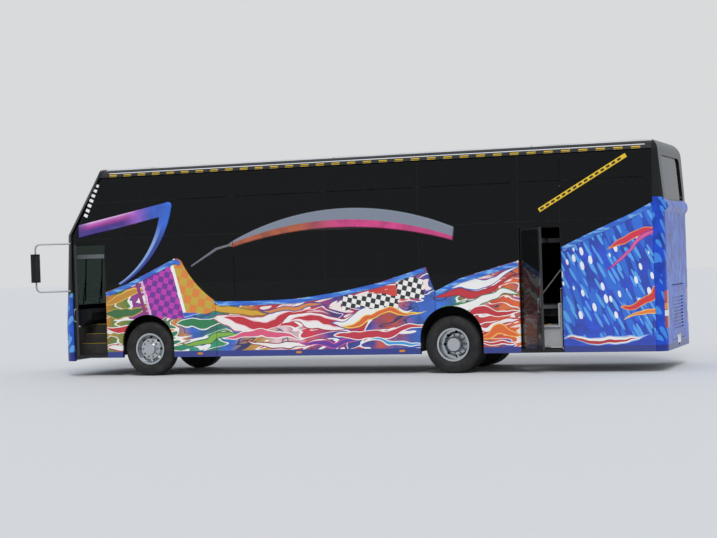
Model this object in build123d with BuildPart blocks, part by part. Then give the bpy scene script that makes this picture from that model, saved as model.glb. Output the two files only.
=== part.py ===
from build123d import *
import os
from math import cos, radians, sin, sqrt

os.makedirs("parts", exist_ok=True)

# A twelve metre double-deck touring coach, doors on its left.
# Millimetres: +X forward, +Y left, +Z up, ground at Z = 0, centre line at Y = 0.

# Body outline
front_x = 5850
body_length = 12000
body_width = 2500
body_height = 4100
skirt_z = 360
bumper_z = 950
nose_z = 2800
nose_setback = 100
screen_setback = 790
front_bow = 45
corner_radius = 280
brow_radius = 380
rear_knee_z = 2950
rear_lean = 90
rear_radius = 180
tail_radius = 260
tumble_z = 3120
tumble = 55
roof_crown = 45
roof_radius = 250

# Skins, seams and clearances
wall = 80
panel = 36
pane = 6
seam = 8
door_gap = 8
lamp_gap = 0.3
plan_ease = 1
pin_clearance = 0.4
low_z = -300
far = 8000

# Where the body's panels meet
corner_u = 290
tail_u = body_length - 185
roof_z = body_height - 200

# Axles and wheels
front_axle_x = front_x - 1930
rear_axle_x = front_x - body_length + 3900
tyre_radius = 522
tyre_width = 298
rim_radius = 286
track_half = 1062
twin_spacing = 330
kingpin_y = 860

# Floors
lower_floor_z = 620
driver_floor_z = 1000
rear_floor_z = 1180
upper_floor_z = 2400
floor_thick = 60
upper_floor_thick = 80

# Doors in the left side, as distances behind the front face
front_door_u = 320
front_door_width = 690
rear_door_u = body_length - 2600
rear_door_width = 760
door_foot_z = 430
door_head_z = 2600
front_door_open = 60
rear_door_open = 47

side_y = body_width / 2
panel_y = side_y - panel
inner_y = side_y - wall
hub_z = tyre_radius
rake = screen_setback / (body_height - nose_z)
rear_x = front_x - body_length
tail_x = front_x - tail_u

# Glazing outlines
screen_lap = 70
lower_screen = (1150, 1330, nose_z - 100, 90)
upper_screen = (1130, nose_z + 80, roof_z - 10, 90)
rear_window = (930, rear_knee_z + 70, roof_z - 120, 110)

# How far cuts through the nose and the tail run, along the coach
nose_cut = (front_x - 1250, front_x + 150)
lamp_cut = (front_x - 850, front_x + 150)
tail_cut = (rear_x - 250, rear_x + 250)

# Headlamps and tail lamps, as (inner y, outer y, foot z, head z)
headlamp = (690, 1165, 600, 850)
tail_lamp = (980, 1180, 760, 1420)
fog_lamp = (620, 800, 420, 520)

# Engine lid in the tail
lid_half = 640
lid_foot_z = 520
lid_head_z = 1500
lid_thick = 50

# Towing sockets as (mouth x, y, z, length towards the middle), and the plate's holes
socket_outer = 36
socket_bore = 20
socket_gap = 5
front_socket = (front_x - 24, -440, 800, 320)
rear_socket = (rear_x + 10, 0, 440, -320)
plate_hole_radius = 3.5
plate_hole_spacing = 300
plate_z = 520

# Bumper and its intake
bumper_foot_z = 300
intake_z = 665
intake_pitch = 54
intake_slots = 3
intake_slot_height = 30
intake_half = 540
intake_depth = 10

# Hinge pins, the engine lid's louvres and the lip across the tail
pin_radius = 10
pin_reach = 40
pin_root = 12
lid_louvres = 10
lid_louvre_pitch = 60
lid_louvre_height = 26
lid_louvre_depth = 18
lid_axis_x = rear_x + lid_thick / 2
lid_axis_z = lid_head_z - lid_thick / 2 - door_gap

lip_stand = 60
lip_foot_z = rear_knee_z - 170
lip_head_z = rear_knee_z + 40
lip_corner = 240

# Wheel arches, side openings and windows, as distances behind the front face
front_wheel_u = front_x - front_axle_x
rear_wheel_u = front_x - rear_axle_x
front_arch_radius = 560
rear_arch_radius = 600
arch_rise = 108

emergency_u = 5850
emergency_width = 700
flap_u = body_length - 2440
flap_width = 1640
flap_foot_z = 450
flap_head_z = 1450

window_foot_z = 3150
window_head_z = roof_z - 70
lower_window_head_z = upper_floor_z - 140

# Window openings as (from u, to u, foot z, head z)
upper_windows = [
    (1080, 1860, roof_z - 460, window_head_z),
    (2620, 3740, window_foot_z, window_head_z),
    (3860, 5600, window_foot_z, window_head_z),
    (5720, rear_wheel_u - 650, window_foot_z, window_head_z),
    (rear_wheel_u - 530, rear_door_u - 100, window_foot_z, window_head_z),
    (rear_door_u + 20, rear_door_u + 820, window_foot_z, window_head_z),
    (rear_door_u + 940, tail_u - 115, window_foot_z, window_head_z),
]
left_lower_windows = [
    (3540, 5560, 1560, lower_window_head_z),
    (5760, rear_wheel_u - 1200, 1860, lower_window_head_z),
]
right_lower_windows = [
    (420, 960, 1450, lower_window_head_z),
    (1140, 1420, 1900, lower_window_head_z),
    (3540, 5560, 1560, lower_window_head_z),
]
window_corner = 70

# Door leaves
leaf_thick = 46
leaf_y = side_y - (panel - pane) - leaf_thick / 2
# Doorways as (first u, width, foot z, head z)
front_doorway = (front_door_u, front_door_width, door_foot_z, door_head_z)
rear_doorway = (rear_door_u, rear_door_width, door_foot_z, door_head_z)
emergency_doorway = (emergency_u, emergency_width, 470, 2240)

# Joints between the painted panels, and the rear ones' slope
panel_joint = 4
panel_split_u = rear_wheel_u - 300
rear_panel_rise = 0.262
tail_panel_u = rear_door_u + rear_door_width + door_gap + panel_joint

# Edge rounds of the arch, boomerang and bead, and of the painted panels
trim_rounds = [30, 16, 9]
panel_ease = 8

# Openings that the skins leave
left_doorways = [front_doorway, rear_doorway]
right_doorways = [emergency_doorway]
flap_opening = (flap_u, flap_width, flap_foot_z, flap_head_z)

# Luggage flap's pins
flap_axis_y = side_y - lid_thick / 2
flap_axis_z = flap_head_z - door_gap - lid_thick / 2
flap_pin_radius = 8

# Side glazing and its seams
glazing_foot_z = 1340
glazing_head_z = roof_z - seam
seams_left_u = [front_wheel_u, 3800, 5660, rear_wheel_u - 590]
seams_right_u = [front_wheel_u, 3800, rear_wheel_u - 590, rear_door_u - 40, rear_door_u + 880]
pane_seams_z = [2700, 3410]
smallest_pane = 25000

# Glass in the door leaves
leaf_lap = 25
pane_fit = 2
leaf_rail = 70
leaf_panel_top = 640
leaf_glass_y = leaf_y + leaf_thick / 2 - pane - pane_fit

# Wheelhouses: boxed over the steered wheels, round over the twin wheels
skin = 12
front_house_half = 640
front_house_top = 1190
house_inner_y = 565
rear_house_radius = 600
wheelhouses = [
    # wheel distance, half length, top, corner radius
    (front_wheel_u, front_house_half, front_house_top, 240),
    (rear_wheel_u, rear_house_radius + 20, hub_z + arch_rise + rear_house_radius, 560),
]
house_foot_z = 400
axle_notch = 320
axle_notch_z = 720

# Floors' risers, step wells and rear stairs
front_riser_u = 2700
saloon_end_u = rear_wheel_u - 770
engine_riser_u = body_length - 1620
engine_floor_z = 1560
stair_inner_y = 560
well_skin = 20
front_well_u = (front_door_u - 20, front_door_u + front_door_width + 20)
rear_stair_count = 5
rear_stair_going = 320
rear_landing = 380
rear_well_start = rear_door_u - 20
rear_well_end = rear_door_u + rear_landing + (rear_stair_count - 1) * rear_stair_going
front_well_inner_y = 600
stair_sheet = 30
well_floor_z = 450
rear_rise = (upper_floor_z - well_floor_z) / rear_stair_count
front_step_going = 190
front_step_count = 3

# Chassis rails and their kicks over the axles
rail_depth = 140
rail_width = 60
rail_y = 400
rail_top_front = driver_floor_z - floor_thick
rail_top_middle = lower_floor_z - floor_thick
rail_top_rear = rear_floor_z - floor_thick
front_kick_u = 2610
rear_kick_u = saloon_end_u + 80
kick_run = 240

# Engine block
engine_u = (engine_riser_u + 50, tail_u - 175)
engine_half = 330
engine_z = (480, 1440)

# Front axle, knuckles and steering arms
boss_radius = 42
boss_height = 120
kingpin_radius = 22
lug_height = 50
lug_gap = 5
beam_width = 96
stub_radius = 38
stub_end_y = 1120
knuckle_web_y = kingpin_y + boss_radius + 14 + lug_gap
web_thick = 42
arm_length = 210
ball_radius = 12
arm_foot_z = hub_z - boss_height / 2 - lug_gap - lug_height
tie_rod_z = arm_foot_z - 30

# Rear axle
axle_tube_radius = 72
banjo_radius = 215
rear_stub_radius = 55
rear_stub_end_y = 1060

# Air springs
spring_radius = 118
spring_y = rail_y + rail_width / 2
spring_offset = 280
springs = [
    # distance behind the front, seat height, rail underside
    (front_wheel_u, 495, rail_top_front - rail_depth),
    (rear_wheel_u - spring_offset, 560, rail_top_rear - rail_depth),
    (rear_wheel_u + spring_offset, 560, rail_top_rear - rail_depth),
]
beam_height = 60

# Rims
hand_holes = 8
front_hub_radius = 112

# Seats
seat_pair_width = 880
seat_pitch = 830
seat_gap = 16
aisle_half = 250

# Driver's place on the right
driver_y = -640
driver_seat_u = 800
steering_u = 700
steering_z = 1720
fascia_half = 975
steering_tilt = 28
wheel_ring_radius = 235

# Mirrors and their loops
loop_root = (5600, 1200)
loop_tip = (6190, 1550)
loop_foot_z = 1690
loop_head_z = 2630
loop_tube_radius = 17
mirror_half_width = 130
mirror_foot_z = 1880
mirror_head_z = 2440
mirror_depth = 84
mirror_x = loop_tip[0] + 6
mirror_middle = (loop_tip[1], (mirror_foot_z + mirror_head_z) / 2)
mirror_face = (2 * mirror_half_width - 50, mirror_head_z - mirror_foot_z - 40)

loop_run = sqrt((loop_tip[0] - loop_root[0]) ** 2 + (loop_tip[1] - loop_root[1]) ** 2)

# Wipers
wiper_y = 330
wiper_foot_z = 1260
blade_foot_z = 1480
blade_head_z = 2330
screen_lean = nose_setback / (nose_z - bumper_z)


def side_plane(y):
    """Sketch plane facing left: first axis is the distance behind the front face, second is height."""
    return Plane(origin=(front_x, y, 0), x_dir=(-1, 0, 0), z_dir=(0, 1, 0))


def front_plane(x):
    """Sketch plane facing forward: first axis is Y, second is height."""
    return Plane(origin=(x, 0, 0), x_dir=(0, 1, 0), z_dir=(1, 0, 0))


# Body form: cross-section, side silhouette, tail plan and leaning nose, crossed with each other


def section_form(inset):
    """The cross-section run along the whole length."""
    half = side_y - inset
    top = body_height - inset
    eave = top - roof_crown
    with BuildPart() as form:
        with BuildSketch(front_plane(front_x + 500)) as outline:
            with BuildLine():
                Polyline((-half, low_z), (half, low_z), (half, tumble_z), (half - tumble, eave))
                ThreePointArc((half - tumble, eave), (0, top), (tumble - half, eave))
                Polyline((tumble - half, eave), (-half, tumble_z), (-half, low_z))
            make_face()
            fillet(outline.vertices().group_by(Axis.Y)[-1], radius=roof_radius - inset)
        extrude(amount=-(body_length + 1000))
    return form.part


def silhouette_form(inset):
    """The side view's roof, brow and tail."""
    top = body_height - inset
    tail = body_length - inset
    brow = nose_setback - 15 + rake * (top - nose_z) + inset * sqrt(1 + rake * rake)
    chin = brow - rake * (top - low_z)
    with BuildPart() as form:
        with BuildSketch(side_plane(-side_y - 100)) as outline:
            with BuildLine():
                Polyline(
                    (chin, low_z),
                    (tail, low_z),
                    (tail, rear_knee_z),
                    (tail - rear_lean, top),
                    (brow, top),
                    close=True,
                )
            make_face()
            fillet(outline.vertices().group_by(Axis.Y)[-1].sort_by(Axis.X)[-1], radius=tail_radius - inset)
            fillet(outline.vertices().group_by(Axis.Y)[-1].sort_by(Axis.X)[0], radius=brow_radius - inset)
        extrude(amount=body_width + 200)
    return form.part


def tail_plan_form(inset):
    """The plan's rear corners, run the full height."""
    half = side_y - inset + plan_ease
    tail = rear_x + inset
    with BuildPart() as form:
        with BuildSketch(Plane.XY.offset(low_z - 10)) as outline:
            with BuildLine():
                ahead = front_x + 400
                Polyline((ahead, half), (tail, half), (tail, -half), (ahead, -half), close=True)
            make_face()
            fillet(outline.vertices().group_by(Axis.X)[0], radius=rear_radius - inset)
        extrude(amount=body_height - low_z + 20)
    return form.part


def nose_form(inset):
    """The bowed front with round corners, leaning back above the bumper and again above the nose."""
    half = side_y - inset + plan_ease
    bands = [
        # foot z, top z, setback at the foot, setback gained by the top
        (low_z, bumper_z, 0, 0),
        (bumper_z, nose_z, 0, nose_setback),
        (nose_z, body_height + 200, nose_setback, rake * (body_height + 200 - nose_z)),
    ]
    with BuildPart() as form:
        for foot, head, setback, lean in bands:
            with BuildSketch(Plane.XY.offset(foot)) as outline:
                nose = front_x - inset - setback
                cheek = nose - front_bow
                behind = rear_x - 900
                with BuildLine():
                    Polyline((cheek, half), (behind, half), (behind, -half), (cheek, -half))
                    ThreePointArc((cheek, -half), (nose, 0), (cheek, half))
                make_face()
                fillet(outline.vertices().group_by(Axis.X)[-1], radius=corner_radius - inset)
            rise = head - foot
            extrude(amount=sqrt(rise * rise + lean * lean), dir=(-lean, 0, rise))
    return form.part


def body_form(inset):
    """The coach's whole outer shape, taken in by inset all round and left long below the skirts."""
    with BuildPart() as form:
        add(section_form(inset))
        add(silhouette_form(inset), mode=Mode.INTERSECT)
        add(tail_plan_form(inset), mode=Mode.INTERSECT)
        add(nose_form(inset), mode=Mode.INTERSECT)
    return form.part


outer_form = body_form(0)
glass_form = body_form(panel - pane)
frame_form = body_form(panel)
inner_form = body_form(wall)

# Regions that split the form into the panels that a coach is built from


def box_between(x0, x1, y0, y1, z0, z1):
    """A plain block between two corners."""
    with BuildPart() as block:
        with Locations(((x0 + x1) / 2, (y0 + y1) / 2, (z0 + z1) / 2)):
            Box(abs(x1 - x0), abs(y1 - y0), abs(z1 - z0))
    return block.part


def front_view_prism(half_width, z0, z1, corner, x0, x1):
    """A rounded rectangle seen from the front, run from x0 to x1."""
    with BuildPart() as prism:
        with BuildSketch(front_plane(x0)):
            with Locations((0, (z0 + z1) / 2)):
                RectangleRounded(2 * half_width, z1 - z0, corner)
        extrude(amount=x1 - x0)
    return prism.part


def side_view_prism(u0, u1, z0, z1, corner, y0, y1):
    """A rounded rectangle seen from the left, run from y0 to y1."""
    with BuildPart() as prism:
        with BuildSketch(side_plane(y0)):
            with Locations(((u0 + u1) / 2, (z0 + z1) / 2)):
                RectangleRounded(u1 - u0, z1 - z0, corner)
        extrude(amount=y1 - y0)
    return prism.part


with BuildPart() as front_region:
    with BuildSketch(side_plane(-side_y - 50)):
        with BuildLine():
            over = body_height + 100
            Polyline(
                (-400, low_z - 20),
                (corner_u, low_z - 20),
                (corner_u, nose_z),
                (corner_u + rake * (over - nose_z), over),
                (-400, over),
                close=True,
            )
        make_face()
    extrude(amount=body_width + 100)


def lamp_prism(lamp, side, x0, x1, grow):
    """A lamp's outline from the front or the rear, on one side, grown by a seam."""
    inner, outer, foot, head = lamp
    with BuildPart() as prism:
        with BuildSketch(front_plane(x0)):
            with Locations((side * (inner + outer) / 2, (foot + head) / 2)):
                RectangleRounded(outer - inner + 2 * grow, head - foot + 2 * grow, 45)
        extrude(amount=x1 - x0)
    return prism.part


def lamp_pocket(lamp, side, x0, x1):
    """The pocket that a lamp sits in, as deep as the painted skin."""
    with BuildPart() as pocket:
        add(lamp_prism(lamp, side, x0, x1, lamp_gap))
        add(outer_form, mode=Mode.INTERSECT)
        add(frame_form, mode=Mode.SUBTRACT)
    return pocket.part


def screen_recess(screen, x0, x1):
    """The rebate that takes a bonded screen, down to the face it is bonded to."""
    half, z0, z1, corner = screen
    with BuildPart() as recess:
        add(outer_form)
        add(frame_form, mode=Mode.SUBTRACT)
        add(front_view_prism(half + seam, z0 - seam, z1 + seam, corner + seam, x0, x1), mode=Mode.INTERSECT)
    return recess.part


def screen_opening(screen, x0, x1):
    """The hole behind a screen, smaller all round by the bonding lap."""
    half, z0, z1, corner = screen
    return front_view_prism(half - screen_lap, z0 + screen_lap, z1 - screen_lap, corner, x0, x1)


def screen_pane(screen, x0, x1):
    """The glass itself, following the body's form."""
    half, z0, z1, corner = screen
    with BuildPart() as pane_part:
        add(glass_form)
        add(frame_form, mode=Mode.SUBTRACT)
        add(front_view_prism(half, z0, z1, corner, x0, x1), mode=Mode.INTERSECT)
    return pane_part.part


def socket_hole(socket):
    """The clearance hole that a towing socket comes through."""
    x, y, z, reach = socket
    with BuildPart() as hole:
        with Locations((x, y, z)):
            Cylinder(socket_outer + socket_gap, 400, rotation=(0, 90, 0))
    return hole.part


# Front mask, from the bumper to the brow

with BuildPart() as front_mask:
    add(outer_form)
    add(inner_form, mode=Mode.SUBTRACT)
    add(front_region.part, mode=Mode.INTERSECT)
    add(box_between(-far, far, -far, far, bumper_z, far), mode=Mode.INTERSECT)
    for screen in (lower_screen, upper_screen):
        add(screen_recess(screen, *nose_cut), mode=Mode.SUBTRACT)
        add(screen_opening(screen, *nose_cut), mode=Mode.SUBTRACT)
front_mask.part.label = "front_mask"
export_step(front_mask.part, "parts/front_mask.step")

# Front bumper with its lamps

with BuildPart() as front_bumper:
    add(outer_form)
    add(inner_form, mode=Mode.SUBTRACT)
    add(front_region.part, mode=Mode.INTERSECT)
    add(box_between(-far, far, -far, far, bumper_foot_z, bumper_z), mode=Mode.INTERSECT)
    for side in (1, -1):
        for lamp in (headlamp, fog_lamp):
            add(lamp_pocket(lamp, side, *lamp_cut), mode=Mode.SUBTRACT)
    add(socket_hole(front_socket), mode=Mode.SUBTRACT)
    with BuildSketch(front_plane(front_x)):
        with Locations((0, intake_z)):
            with GridLocations(0, intake_pitch, 1, intake_slots):
                RectangleRounded(2 * intake_half, intake_slot_height, 12)
    extrude(amount=-(front_bow + intake_depth), mode=Mode.SUBTRACT)
    for side in (1, -1):
        with Locations((front_x - 10, side * plate_hole_spacing / 2, plate_z)):
            Cylinder(plate_hole_radius, 60, rotation=(0, 90, 0), mode=Mode.SUBTRACT)
front_bumper.part.label = "front_bumper"
export_step(front_bumper.part, "parts/front_bumper.step")

with BuildPart() as headlamps:
    for side in (1, -1):
        for lamp in (headlamp, fog_lamp):
            add(lamp_prism(lamp, side, *lamp_cut, 0))
    add(outer_form, mode=Mode.INTERSECT)
    add(frame_form, mode=Mode.SUBTRACT)
headlamps.part.label = "headlamps"
export_step(headlamps.part, "parts/headlamps.step")

# Screens, bonded flush over their rebates

for name, screen, x0, x1 in (
    ("windscreen_lower", lower_screen, *nose_cut),
    ("windscreen_upper", upper_screen, *nose_cut),
    ("rear_window", rear_window, *tail_cut),
):
    with BuildPart() as glazing:
        add(screen_pane(screen, x0, x1))
    glazing.part.label = name
    export_step(glazing.part, "parts/" + name + ".step")

# Tail: rear wall with its window, lamps and the engine lid's opening


def tail_lip():
    """The moulded lip that wraps round the tail under the rear window."""
    with BuildPart() as lip:
        with BuildSketch(side_plane(-side_y - 10)):
            with BuildLine():
                tip_u = body_length + lip_stand
                Polyline(
                    (tail_u, lip_foot_z),
                    (body_length, lip_foot_z),
                    (tip_u, lip_foot_z + 90),
                    (tip_u - 20, lip_head_z - 50),
                    (body_length, lip_head_z),
                    (tail_u, lip_head_z),
                    close=True,
                )
            make_face()
        extrude(amount=body_width + 20)
        with BuildSketch(Plane.XY.offset(lip_foot_z - 10)) as outline:
            with Locations((rear_x - lip_stand + 300, 0)):
                Rectangle(600, body_width - 2 * plan_ease)
            fillet(outline.vertices().group_by(Axis.X)[0], radius=lip_corner)
        extrude(amount=lip_head_z - lip_foot_z + 20, mode=Mode.INTERSECT)
        add(inner_form, mode=Mode.SUBTRACT)
    return lip.part


with BuildPart() as rear_wall:
    add(outer_form)
    add(inner_form, mode=Mode.SUBTRACT)
    add(box_between(-far, tail_x, -far, far, skirt_z, far), mode=Mode.INTERSECT)
    add(tail_lip())
    add(screen_recess(rear_window, *tail_cut), mode=Mode.SUBTRACT)
    add(screen_opening(rear_window, *tail_cut), mode=Mode.SUBTRACT)
    add(box_between(-far, tail_x + 100, -lid_half, lid_half, lid_foot_z, lid_head_z), mode=Mode.SUBTRACT)
    for side in (1, -1):
        add(lamp_pocket(tail_lamp, side, *tail_cut), mode=Mode.SUBTRACT)
        with Locations((lid_axis_x, side * (lid_half + (pin_root - pin_reach) / 2), lid_axis_z)):
            Cylinder(pin_radius, pin_reach + pin_root, rotation=(90, 0, 0))
    add(socket_hole(rear_socket), mode=Mode.SUBTRACT)
rear_wall.part.label = "rear_wall"
export_step(rear_wall.part, "parts/rear_wall.step")

with BuildPart() as tail_lamps:
    for side in (1, -1):
        add(lamp_prism(tail_lamp, side, *tail_cut, 0))
    add(outer_form, mode=Mode.INTERSECT)
    add(frame_form, mode=Mode.SUBTRACT)
tail_lamps.part.label = "tail_lamps"
export_step(tail_lamps.part, "parts/tail_lamps.step")

# Engine lid, hung on two pins along its top edge, which is round about them

with BuildPart() as engine_lid:
    lid_drop = lid_axis_z - lid_foot_z - door_gap
    with BuildSketch(Plane.XZ.offset(-(lid_half - door_gap))):
        with Locations((lid_axis_x, lid_axis_z)):
            Circle(lid_thick / 2)
        with Locations((lid_axis_x, lid_axis_z - lid_drop / 2)):
            Rectangle(lid_thick, lid_drop)
    extrude(amount=2 * (lid_half - door_gap))
    for side in (1, -1):
        with Locations((lid_axis_x, side * lid_half, lid_axis_z)):
            Cylinder(
                pin_radius + pin_clearance,
                2 * (pin_reach + pin_root),
                rotation=(90, 0, 0),
                mode=Mode.SUBTRACT,
            )
    with BuildSketch(Plane.YZ.offset(rear_x)):
        with Locations((0, lid_axis_z - lid_drop / 2)):
            with GridLocations(0, lid_louvre_pitch, 1, lid_louvres):
                RectangleRounded(2 * lid_half - 260, lid_louvre_height, lid_louvre_height / 2 - 1)
    extrude(amount=lid_louvre_depth, mode=Mode.SUBTRACT)
engine_lid.part.label = "engine_lid"
export_step(engine_lid.part, "parts/engine_lid.step")

# Roof skin between the brow and the tail

with BuildPart() as roof:
    add(outer_form)
    add(inner_form, mode=Mode.SUBTRACT)
    add(front_region.part, mode=Mode.SUBTRACT)
    add(box_between(tail_x, far, -far, far, roof_z, far), mode=Mode.INTERSECT)
roof.part.label = "roof"
export_step(roof.part, "parts/roof.step")

# Side walls: the structure behind the skins, with window openings, doorways and wheel arches


def arch_cut(wheel_u, radius, y0, y1):
    """A wheel arch: round above, straight below."""
    with BuildPart() as cut:
        with BuildSketch(side_plane(y0)):
            with Locations((wheel_u, hub_z + arch_rise)):
                Circle(radius)
            with Locations((wheel_u, (hub_z + arch_rise + low_z) / 2)):
                Rectangle(2 * radius, hub_z + arch_rise - low_z)
        extrude(amount=y1 - y0)
    return cut.part


def leaf_pins(u, foot, head):
    """Two upright pins that a door leaf turns on, standing in the sill and the header."""
    with BuildPart() as pins:
        for z0, z1 in ((foot - pin_root, foot + pin_reach), (head - pin_reach, head + pin_root)):
            with Locations((front_x - u, leaf_y, (z0 + z1) / 2)):
                Cylinder(pin_radius, z1 - z0)
    return pins.part


def side_wall(windows, doorways):
    """One side's structure, built on the left: openings cut and door pins standing in their sills."""
    with BuildPart() as side:
        add(frame_form)
        add(inner_form, mode=Mode.SUBTRACT)
        add(front_region.part, mode=Mode.SUBTRACT)
        add(box_between(tail_x, far, 0, far, skirt_z, roof_z), mode=Mode.INTERSECT)
        for u0, u1, z0, z1 in windows:
            add(side_view_prism(u0, u1, z0, z1, window_corner, 900, 1400), mode=Mode.SUBTRACT)
        add(arch_cut(front_wheel_u, front_arch_radius, 900, 1400), mode=Mode.SUBTRACT)
        add(arch_cut(rear_wheel_u, rear_arch_radius, 900, 1400), mode=Mode.SUBTRACT)
        for u0, width, foot, head in doorways:
            add(box_between(front_x - u0, front_x - u0 - width, 900, 1400, foot, head), mode=Mode.SUBTRACT)
            add(leaf_pins(u0 + door_gap + leaf_thick / 2, foot, head))
    return side.part


left_wall = side_wall(upper_windows + left_lower_windows, [front_doorway, rear_doorway])
left_wall.label = "side_wall_left"
export_step(left_wall, "parts/side_wall_left.step")

with BuildPart() as right_wall:
    add(mirror(side_wall(upper_windows + right_lower_windows, [emergency_doorway]), about=Plane.XZ))
    add(
        box_between(front_x - flap_u, front_x - flap_u - flap_width, -1400, -900, flap_foot_z, flap_head_z),
        mode=Mode.SUBTRACT,
    )
right_wall.part.label = "side_wall_right"
export_step(right_wall.part, "parts/side_wall_right.step")

# Painted lower panels, drawn as distance behind the front face and height


def front_wheel_outline():
    """Panel round the front wheel, rising to a peak behind it."""
    Polyline((1030, skirt_z), (1030, 1650), (1500, 1800), (2480, 2230))
    ThreePointArc((2480, 2230), (2600, 2262), (2700, 2190))
    ThreePointArc((2700, 2190), (2960, 1800), (3396, 1420))
    Polyline((3396, 1420), (3396, skirt_z), (1030, skirt_z))


def middle_outline():
    """Long panel between the axles, sweeping up towards the rear wheel."""
    Polyline((3400, skirt_z), (3400, 1420))
    ThreePointArc((3400, 1420), (5100, 1436), (6740, 1690))
    Polyline((6740, 1690), (panel_split_u - 160, 1950), (panel_split_u, 1500))
    Polyline((panel_split_u, 1500), (panel_split_u, skirt_z), (3400, skirt_z))


def rear_wheel_outline(end_u):
    """Panel over the rear wheel, climbing away behind it."""
    start_u = panel_split_u + panel_joint
    knee_u = rear_wheel_u + 200
    end_z = 1730 + rear_panel_rise * (end_u - knee_u)
    Polyline((start_u, skirt_z), (start_u, 1500), (knee_u, 1730), (end_u, end_z))
    Polyline((end_u, end_z), (end_u, skirt_z), (start_u, skirt_z))


def tail_outline():
    """Tail panel, rising to the lip across the tail."""
    run = tail_u - tail_panel_u
    Polyline((tail_panel_u, skirt_z), (tail_panel_u, 2230), (tail_panel_u + 0.4 * run, 2520))
    Polyline((tail_panel_u + 0.4 * run, 2520), (tail_panel_u + 0.75 * run, 2760), (tail_u, 2960))
    Polyline((tail_u, 2960), (tail_u, skirt_z), (tail_panel_u, skirt_z))


def arch_moulding_outline():
    """The long arched moulding along the waist."""
    end_u = rear_wheel_u + 100
    middle_u = (3790 + end_u) / 2 - 35
    ThreePointArc((3790, 2560), (middle_u, 3090), (end_u, 2660))
    Line((end_u, 2660), (end_u - 30, 2420))
    ThreePointArc((end_u - 30, 2420), (middle_u - 10, 2735), (3800, 2440))
    Line((3800, 2440), (3790, 2560))


def boomerang_outline():
    """A rising bar over the front door that folds back into a thin limb."""
    Polyline((470, 2735), (1400, 2905), (2250, 3075))
    ThreePointArc((2250, 3075), (2060, 2560), (1310, 1810))
    Polyline((1310, 1810), (1370, 1770))
    ThreePointArc((1370, 1770), (2200, 2500), (2520, 3250))
    ThreePointArc((2520, 3250), (2500, 3345), (2400, 3350))
    Polyline((2400, 3350), (1400, 3160), (470, 2985), (470, 2735))


def bead_outline():
    """A thin bead running into the arched moulding."""
    Polyline((2900, 2085), (2915, 2125), (3440, 2440), (3700, 2500), (3700, 2455), (3470, 2400), close=True)


def side_sheet(outline, thickness, grow=0):
    """A sheet of the given outline laid on the side structure, grown all round by a seam."""
    with BuildPart() as sheet:
        with BuildSketch(side_plane(panel_y)):
            with BuildLine():
                outline()
            make_face()
            if grow:
                offset(amount=grow)
        extrude(amount=thickness)
    return sheet.part


def rounded_sheet(outline, edge_round):
    """A moulding whose outer edges are rounded over."""
    with BuildPart() as moulding:
        add(side_sheet(outline, panel))
        fillet(moulding.faces().sort_by(Axis.Y)[-1].edges(), radius=edge_round)
    return moulding.part


def eased_sheet(outline):
    """A painted panel whose outer edges are eased."""
    with BuildPart() as painted:
        add(side_sheet(outline, panel))
        chamfer(painted.faces().sort_by(Axis.Y)[-1].edges(), length=panel_ease)
    return painted.part


def rear_wheel_left():
    rear_wheel_outline(rear_door_u - door_gap)


def rear_wheel_right():
    rear_wheel_outline(tail_panel_u - panel_joint)


painted_left = [front_wheel_outline, middle_outline, rear_wheel_left, tail_outline]
painted_right = [front_wheel_outline, middle_outline, rear_wheel_right, tail_outline]
trim_outlines = [arch_moulding_outline, boomerang_outline, bead_outline]


def wheel_and_door_cuts(doorways, grow):
    """Everything that a side's skins leave open: arches and doorways, with their gaps."""
    with BuildPart() as cuts:
        add(arch_cut(front_wheel_u, front_arch_radius, panel_y - 1, side_y + 60))
        add(arch_cut(rear_wheel_u, rear_arch_radius, panel_y - 1, side_y + 60))
        for u0, width, foot, head in doorways:
            x0 = front_x - u0
            add(box_between(x0 + grow, x0 - width - grow, panel_y - 1, side_y + 60, foot - grow, head + grow))
    return cuts.part


with BuildPart() as panels_left:
    for outline in painted_left:
        add(eased_sheet(outline))
    add(wheel_and_door_cuts(left_doorways, 0), mode=Mode.SUBTRACT)
panels_left.part.label = "side_panels_left"
export_step(panels_left.part, "parts/side_panels_left.step")

with BuildPart() as panels_right:
    for outline in painted_right:
        add(eased_sheet(outline))
    add(wheel_and_door_cuts(right_doorways + [flap_opening], 0), mode=Mode.SUBTRACT)
    for u, way in ((flap_u, 1), (flap_u + flap_width, -1)):
        with Locations((front_x - u - way * (pin_reach - pin_root) / 2, flap_axis_y, flap_axis_z)):
            Cylinder(flap_pin_radius, pin_reach + pin_root, rotation=(0, 90, 0))
panels_right_part = mirror(panels_right.part, about=Plane.XZ)
panels_right_part.label = "side_panels_right"
export_step(panels_right_part, "parts/side_panels_right.step")

with BuildPart() as trim_left:
    for outline, edge_round in zip(trim_outlines, trim_rounds):
        add(rounded_sheet(outline, edge_round))
trim_left.part.label = "mouldings_left"
export_step(trim_left.part, "parts/mouldings_left.step")
trim_right = mirror(trim_left.part, about=Plane.XZ)
trim_right.label = "mouldings_right"
export_step(trim_right, "parts/mouldings_right.step")

# Black side glazing, bonded edge to edge round the painted forms


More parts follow.
